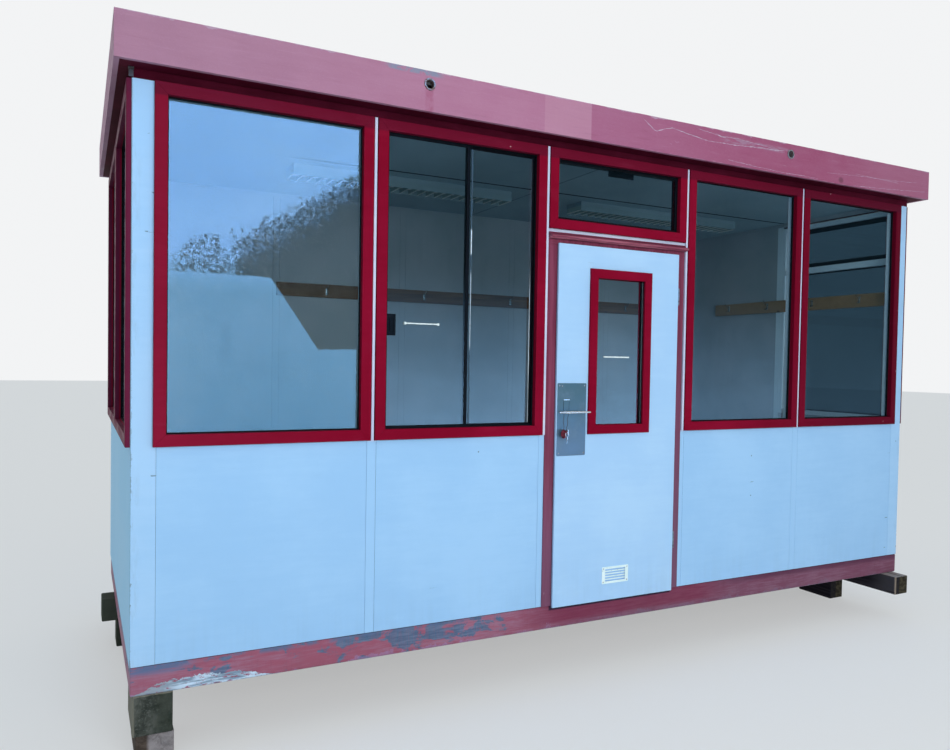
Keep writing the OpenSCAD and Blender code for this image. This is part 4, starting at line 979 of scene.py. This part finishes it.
SOCKET_PROUD, CRACK_PROUD = 0.004, 0.0003
CRACK_STEP, CRACK_WANDER = 0.012, 0.0016


def crack_shape(made):
    """Thin ragged ribbons on the face of the right edge board."""
    chance = random.Random(7)
    face = cad_low.y + SOCKET_PROUD - CRACK_PROUD
    for spread, line in CRACKS:
        points = []
        for (x0, z0), (x1, z1) in zip(line, line[1:]):
            steps = max(2, int((x1 - x0) / CRACK_STEP))
            for k in range(steps):
                wander = chance.uniform(-1, 1) * CRACK_WANDER
                points.append((x0 + (x1 - x0) * k / steps, z0 + (z1 - z0) * k / steps + wander))
        points.append(line[-1])
        last = None
        for k, (x, z) in enumerate(points):
            taper = min(1.0, 0.2 + k / 4, 0.2 + (len(points) - 1 - k) / 4)
            half = spread * chance.uniform(0.25, 1.0) * taper
            pair = (made.verts.new((x, face, z - half)), made.verts.new((x, face, z + half)))
            if last:
                made.faces.new((last[0], pair[0], pair[1], last[1]))
            last = pair


new_piece("edge_board_cracks", crack_shape, crack_filler, "cabin")


# Lifting sockets: short steel tubes through the edge boards, for the lugs of a sling.
# Their paint is gone and the bare steel has begun to rust.
socket_steel, shader, place = new_material("socket steel", 0.55, 0.6)
rust = noise(place, 40.0, 6.0, 0.7)
base = coats(ramp(rust, 0.42, 0.62), (0.34, 0.33, 0.38), (0.22, 0.15, 0.13))
feed(shader, base, Roughness=ramp(rust, 0.4, 0.65, 0.4, 0.8))
relief(shader, rust, 0.0006)
finish_node("lifting_sockets", socket_steel, 0.0006)


# Coat rails: varnished brown boards on the back and right walls, the right one of a paler wood.
# Steel hooks with two arms are screwed along them.
rail_board, shader, place = new_material("coat rail board", 0.5)
grain = placed(wood_grain, place, Scale=1.2)
base = coats(ramp(grain["Tone"], 0.35, 0.66), (0.085, 0.045, 0.022), (0.175, 0.095, 0.045))
end_board = beyond(split(place)["X"], 2.4)
base = coats(times(end_board, 0.85), base, coats(grain["Tone"], (0.27, 0.17, 0.085),
                                                 (0.48, 0.32, 0.18)))
knots = placed(specks, place, Per_Metre=4.0, Flatness=2.0, Size=0.06, Share=0.3)["Mask"]
feed(shader, coats(times(knots, 0.7), base, (0.03, 0.018, 0.012)))
relief(shader, grain["Height"], 0.0006)
finish_node("coat_rails", rail_board, 0.002)

hook_steel = two_tone("hook steel", (0.25, 0.95), (80.0,), (0.4, 0.7),
                      (0.55, 0.52, 0.46), (0.30, 0.26, 0.20))


BACK_HOOKS = (-1.12, -0.72, -0.319, 0.08, 0.478, 0.88, 1.28, 1.70, 2.02)
END_HOOKS = (0.547, 0.104, -0.358, -0.788)
ARM_RADIUS = 0.0032


def coat_hook(made, foot, out):
    """Adds a two-armed coat hook: foot is its place on the board and out the way it points."""
    foot, out, up = Vector(foot), Vector(out), Vector((0, 0, 1))
    side = out.cross(up)
    low, high = foot - side * 0.009 - up * 0.026, foot + side * 0.009 + out * 0.003 + up * 0.026
    corners = [[pick(a, b) for a, b in zip(low, high)] for pick in (min, max)]
    soft_block(made, *corners, 0.001)
    upper_arm = [foot + out * (0.002 + 0.052 * s) + up * (0.012 + 0.040 * s * s)
                 for s in [k / 8 for k in range(9)]]
    lower_arm = [foot + out * (0.002 + 0.026 * math.sin(t)) +
                 up * (-0.014 - 0.012 * (1 - math.cos(t)) + 0.010 * max(0, t - 1.6))
                 for t in [2.6 * k / 8 for k in range(9)]]
    for arm in (upper_arm, lower_arm):
        wire(made, arm, ARM_RADIUS, 8)


def back_hooks(made):
    for x in BACK_HOOKS:
        coat_hook(made, (x, 1.02, 2.318), (0, -1, 0))


def end_hooks(made):
    for y in END_HOOKS:
        coat_hook(made, (2.52, y, 2.326), (-1, 0, 0))


smooth(new_piece("back_coat_hooks", back_hooks, hook_steel, "cabin"))
smooth(new_piece("end_coat_hooks", end_hooks, hook_steel, "cabin"))


# Timber supports: sawn blocks and a long bearer that level the cabin, weathered and split.
# The left stack is green with moss on top; the right bearer is dark with age,
# and its sides are painted nearly black as shade under the cabin.
def old_timber(name):
    """Starts weathered sawn timber whose grain runs along Y."""
    made, shader, place = new_material(name, 0.85, shine=0.12)
    grain = placed(wood_grain, turned(place, "YXZ"), Scale=0.9)
    facing = split(add(home(place), "TexCoord").outputs["Normal"])
    sawn_end = ramp(figure("ABSOLUTE", facing["Y"]), 0.75, 0.9)
    return made, shader, place, split(place), grain, facing, sawn_end


left_timber, shader, place, (x, y, z), grain, _, sawn_end = old_timber("left block timber")
soft = noise(place, 16.0, 6.0, 0.6)
fine = noise(place, 95.0, 4.0, 0.6)
mossy = coats(ramp(soft, 0.36, 0.64), (0.030, 0.036, 0.031), (0.090, 0.098, 0.088))
mossy = coats(ramp(fine, 0.5, 0.7, 0.0, 0.5), mossy, (0.13, 0.14, 0.13))
worn_top = ramp(plus(z, times(soft, 0.012)), 0.298, 0.304)
lighter_left = ramp(plus(x, times(soft, 0.010)), -2.570, -2.580)
mossy = coats(ramp(x, -2.52, -2.46, 0.0, 0.6), mossy, (0.020, 0.028, 0.020))
mossy = coats(times(larger(worn_top, lighter_left), 0.8), mossy, (0.24, 0.23, 0.19))
browned = coats(ramp(grain["Tone"], 0.36, 0.64), (0.045, 0.034, 0.028), (0.105, 0.082, 0.070))
greyed = coats(ramp(grain["Tone"], 0.36, 0.64), (0.15, 0.138, 0.145), (0.29, 0.270, 0.285))
lower = coats(ramp(plus(x, times(soft, 0.02)), -2.520, -2.500), browned, greyed)
base = coats(ramp(z, 0.1130, 0.1175), lower, mossy)
base = coats(ramp(y, 0.2, 0.4, 0.0, 0.8), base,
             coats(soft, (0.012, 0.022, 0.016), (0.045, 0.062, 0.048)))
base = coats(times(grain["Cracks"], less(1.0, sawn_end)), base, (0.012, 0.011, 0.012))
feed(shader, base)
relief(shader, plus(times(grain["Height"], 0.5), fine), 0.0022, 0.8)

right_timber, shader, place, (x, y, z), grain, facing, sawn_end = old_timber("right bearer timber")
soft = noise(place, 11.0, 6.0, 0.65)
# The bearer's sides are painted nearly black as shade under the cabin, paler towards the front end
# that stands out from under it; its top is painted pale grey, partly weathering and partly painted
# light.
side = coats(ramp(grain["Tone"], 0.36, 0.66), (0.008, 0.007, 0.013), (0.034, 0.031, 0.042))
upward = ramp(facing["Z"], 0.5, 0.8)
side = coats(times(upward, ramp(soft, 0.3, 0.6, 0.6, 1.0)), side, (0.34, 0.31, 0.30))
side = coats(times(ramp(y, -0.95, -1.15, 0.0, 0.8), less(1.0, upward)), side, (0.060, 0.058, 0.068))
rings = noise(stretched(place, 1.0, 1.0, 1.4), 20.0, 4.0, 0.6, 1.2)
cut_end = coats(ramp(rings, 0.38, 0.62), (0.026, 0.021, 0.014), (0.066, 0.056, 0.036))
base = coats(sawn_end, side, cut_end)
# Sawn ends left of x = 2.49 are painted near black: painted shade under the cabin.
base = coats(times(sawn_end, ramp(x, 2.500, 2.490, 0.0, 0.75)), base, (0.010, 0.010, 0.016))
bearer_low, bearer_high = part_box("right_blocks")
# A pale line down the bearer's front left edge: a painted highlight.
front_edge = times(ramp(y, bearer_low.y + 0.012, bearer_low.y + 0.004),
                   ramp(x, bearer_high.x - 0.120, bearer_high.x - 0.130))
base = coats(times(front_edge, 0.8), base, (0.32, 0.26, 0.21))
base = coats(times(grain["Cracks"], 0.8), base, (0.006, 0.006, 0.008))
feed(shader, base)
relief(shader, plus(grain["Height"], times(rings, 0.5)), 0.003, 0.9)
finish_node("left_blocks", left_timber, 0.006)
finish_node("right_blocks", right_timber, 0.005)


# Studio: a plain pale floor, a soft light in front and above, and the view of the photograph.
# Two upright cards in front, which only reflections show, give the panes something to mirror:
# a bright blue one with a ragged dark patch, and beyond it a dark one that is lit at its foot.
scene = bpy.context.scene
scene.view_settings.view_transform = "Standard"


def studio_sheet(name, corners, material):
    """A flat sheet of the studio, which is no part of the cabin."""
    mesh = bpy.data.meshes.new(name)
    made = bmesh.new()
    made.faces.new([made.verts.new(corner) for corner in corners])
    made.to_mesh(mesh)
    made.free()
    mesh.materials.append(material)
    sheet = bpy.data.objects.new(name, mesh)
    scene.collection.objects.link(sheet)
    return sheet


def studio_white(plain, shown, strength, outlet):
    """Mixes a plain surface or sky with a white one that only eyes, mirrors and glass see."""
    tree = home(plain)
    path = add(tree, "LightPath").outputs
    seen = larger(larger(path["Is Camera Ray"], path["Is Glossy Ray"]), path["Is Transmission Ray"])
    mixed = add(tree, "MixShader", {0: times(seen, strength), 1: plain, 2: shown})
    tree.links.new(mixed.outputs[0], tree.nodes[outlet].inputs["Surface"])


FLOOR_REACH = 60
floor_white = new_material("pale floor", 0.9)[0]
tree = floor_white.node_tree
shader = tree.nodes["Principled BSDF"]
shader.inputs["Base Color"].default_value = (0.78, 0.79, 0.80, 1)
white = add(tree, "Emission", {"Color": (0.92, 0.93, 0.94, 1)})
studio_white(shader.outputs[0], white.outputs[0], 0.45, "Material Output")
studio_sheet("floor", [(x * FLOOR_REACH, y * FLOOR_REACH, 0)
                       for x, y in ((-1, -1), (1, -1), (1, 1), (-1, 1))], floor_white)

world = bpy.data.worlds.new("studio")
scene.world = world
world.use_nodes = True
tree = world.node_tree
sky = tree.nodes["Background"]
sky.inputs["Color"].default_value = (0.84, 0.95, 1.0, 1)
sky.inputs["Strength"].default_value = 0.60
white = add(tree, "Background", {"Color": (0.94, 0.95, 0.96, 1), "Strength": 0.95})
studio_white(sky.outputs[0], white.outputs[0], 1.0, "World Output")

STUDIO_FRONT = -9.0
soft_box = bpy.data.lights.new("front soft box", "AREA")
soft_box.shape, soft_box.size, soft_box.size_y = "RECTANGLE", 4.3, 5.0
soft_box.energy, soft_box.color = 325, (0.99, 0.97, 0.94)
lamp = bpy.data.objects.new("front soft box", soft_box)
lamp.location = (-0.93, STUDIO_FRONT, 3.05)
lamp.rotation_euler = (math.pi / 2, 0, 0)
lamp.visible_camera = False
lamp.visible_glossy = False
scene.collection.objects.link(lamp)


def reflector(name, low, high):
    """An upright card that only shiny surfaces see; returns its emission and the place on it."""
    material = bpy.data.materials.new(name)
    material.use_nodes = True
    tree = material.node_tree
    tree.nodes.remove(tree.nodes["Principled BSDF"])
    glow = add(tree, "Emission")
    mirrored = beyond(add(tree, "LightPath").outputs["Glossy Depth"], 0.5)
    clear = add(tree, "BsdfTransparent")
    mixed = add(tree, "MixShader", {0: mirrored, 1: clear.outputs[0], 2: glow.outputs[0]})
    tree.links.new(mixed.outputs[0], tree.nodes["Material Output"].inputs["Surface"])
    corners = [(x, STUDIO_FRONT, z) for x, z in (low, (high[0], low[1]), high, (low[0], high[1]))]
    card = studio_sheet(name, corners, material)
    for kind in ("camera", "diffuse", "volume_scatter", "shadow"):
        setattr(card, "visible_" + kind, False)
    return glow, add(tree, "TexCoord").outputs["Object"]


CARDS_MEET = 1.27
glow, place = reflector("blue reflector", (-3.6, -0.8), (CARDS_MEET, 6.4))
x, y, z = split(place)
rise = ramp(z, 2.7, 3.4)
blue = coats(rise, (0.20, 0.56, 1.0), (0.24, 0.51, 1.0))
drift = noise(stretched(place, 0.5, 1.0, 1.3), 0.6, 5.0, 0.55)
blue = coats(times(ramp(drift, 0.45, 0.75, 0.0, 0.4), rise), blue, (0.34, 0.62, 1.0))
ragged = times(less(noise(place, 1.6, 9.0, 0.72), 0.5), 1.1)
flecks = times(less(noise(place, 9.0, 9.0, 0.85, 0.3), 0.5), 1.6)
closed = ramp(plus(x, flecks), -0.90, -0.74)
open_part = less(1.0, closed)
slope = times(larger(plus(x, 0.767), 0.0), 0.65)
rounded = times(larger(less(away(x, -1.20), 0.12), 0.0), open_part)
top_line = plus(less(plus(slope, 3.55), rounded), times(ragged, 0.3))
fall = add(home(place), "MapRange", {
    "Value": x, "From Min": -0.28, "From Max": 0.45, "To Min": 3.0, "To Max": 1.95})
low_line = plus(fall.outputs["Result"], times(ragged, 0.10))
depth = plus(less(top_line, z), flecks)
holes = ramp(noise(place, 15.0, 9.0, 0.82, 0.5), 0.45, 0.55)
open_edge = times(ramp(depth, 0.10, 0.55, 0.55, 0.0), holes)
filled = larger(times(closed, less(1.0, open_edge)), times(open_part, times(holes, 0.98)))
under_top = times(ramp(depth, 0.0, 0.10), filled)
over_low = ramp(less(z, low_line), 0.0, 0.02)
patch = times(under_top, over_low, ramp(x, -1.75, -1.50))
blue = coats(times(patch, 0.985), blue, (0.003, 0.007, 0.008))
feed(glow, blue, Strength=ramp(z, 2.7, 3.4, 4.5, 9.0))

glow, place = reflector("dark reflector", (CARDS_MEET, -0.8), (16.0, 9.0))
x, y, z = split(place)
haze = noise(stretched(place, 0.6, 1.0, 1.6), 0.7, 5.0, 0.6)
low_light = times(ramp(z, 3.4, 0.6), ramp(haze, 0.3, 0.65, 0.75, 1.0))
far = times(ramp(x, 6.8, 8.2, 1.0, 0.42), ramp(x, 10.5, 11.3, 1.0, 0.15))
feed(glow, coats(times(low_light, far), (0.005, 0.012, 0.018), (0.33, 0.62, 1.0)))
glow.inputs["Strength"].default_value = 4.0

# The view: its three turns, where it stands, its focal length and its middle in the photo's pixels.
YAW, PITCH, ROLL = math.radians(27.057), math.radians(-1.555), math.radians(0.972)
STAND = (-2.801, -4.768, 1.792)
PHOTO_WIDTH, PHOTO_HEIGHT, FOCAL, MIDDLE = 950, 750, 777.05, (474.9, 384.3)
up = Vector((0, 0, 1))
ahead = Vector((math.sin(YAW), math.cos(YAW), 0))
level_right = Vector((math.cos(YAW), -math.sin(YAW), 0))
view_ahead = math.cos(PITCH) * ahead + math.sin(PITCH) * up
level_up = -math.sin(PITCH) * ahead + math.cos(PITCH) * up
view_right = math.cos(ROLL) * level_right + math.sin(ROLL) * level_up
view_up = -math.sin(ROLL) * level_right + math.cos(ROLL) * level_up
lens = bpy.data.cameras.new("photo view")
lens.sensor_width = 36.0
lens.lens = FOCAL * lens.sensor_width / PHOTO_WIDTH
lens.shift_x = (PHOTO_WIDTH / 2 - MIDDLE[0]) / PHOTO_WIDTH
lens.shift_y = (MIDDLE[1] - PHOTO_HEIGHT / 2) / PHOTO_WIDTH
camera = bpy.data.objects.new("photo view", lens)
scene.collection.objects.link(camera)
rows = [(right, above, -forward, stand)
        for right, above, forward, stand in zip(view_right, view_up, view_ahead, STAND)]
camera.matrix_world = Matrix((*rows, (0, 0, 0, 1)))
scene.camera = camera
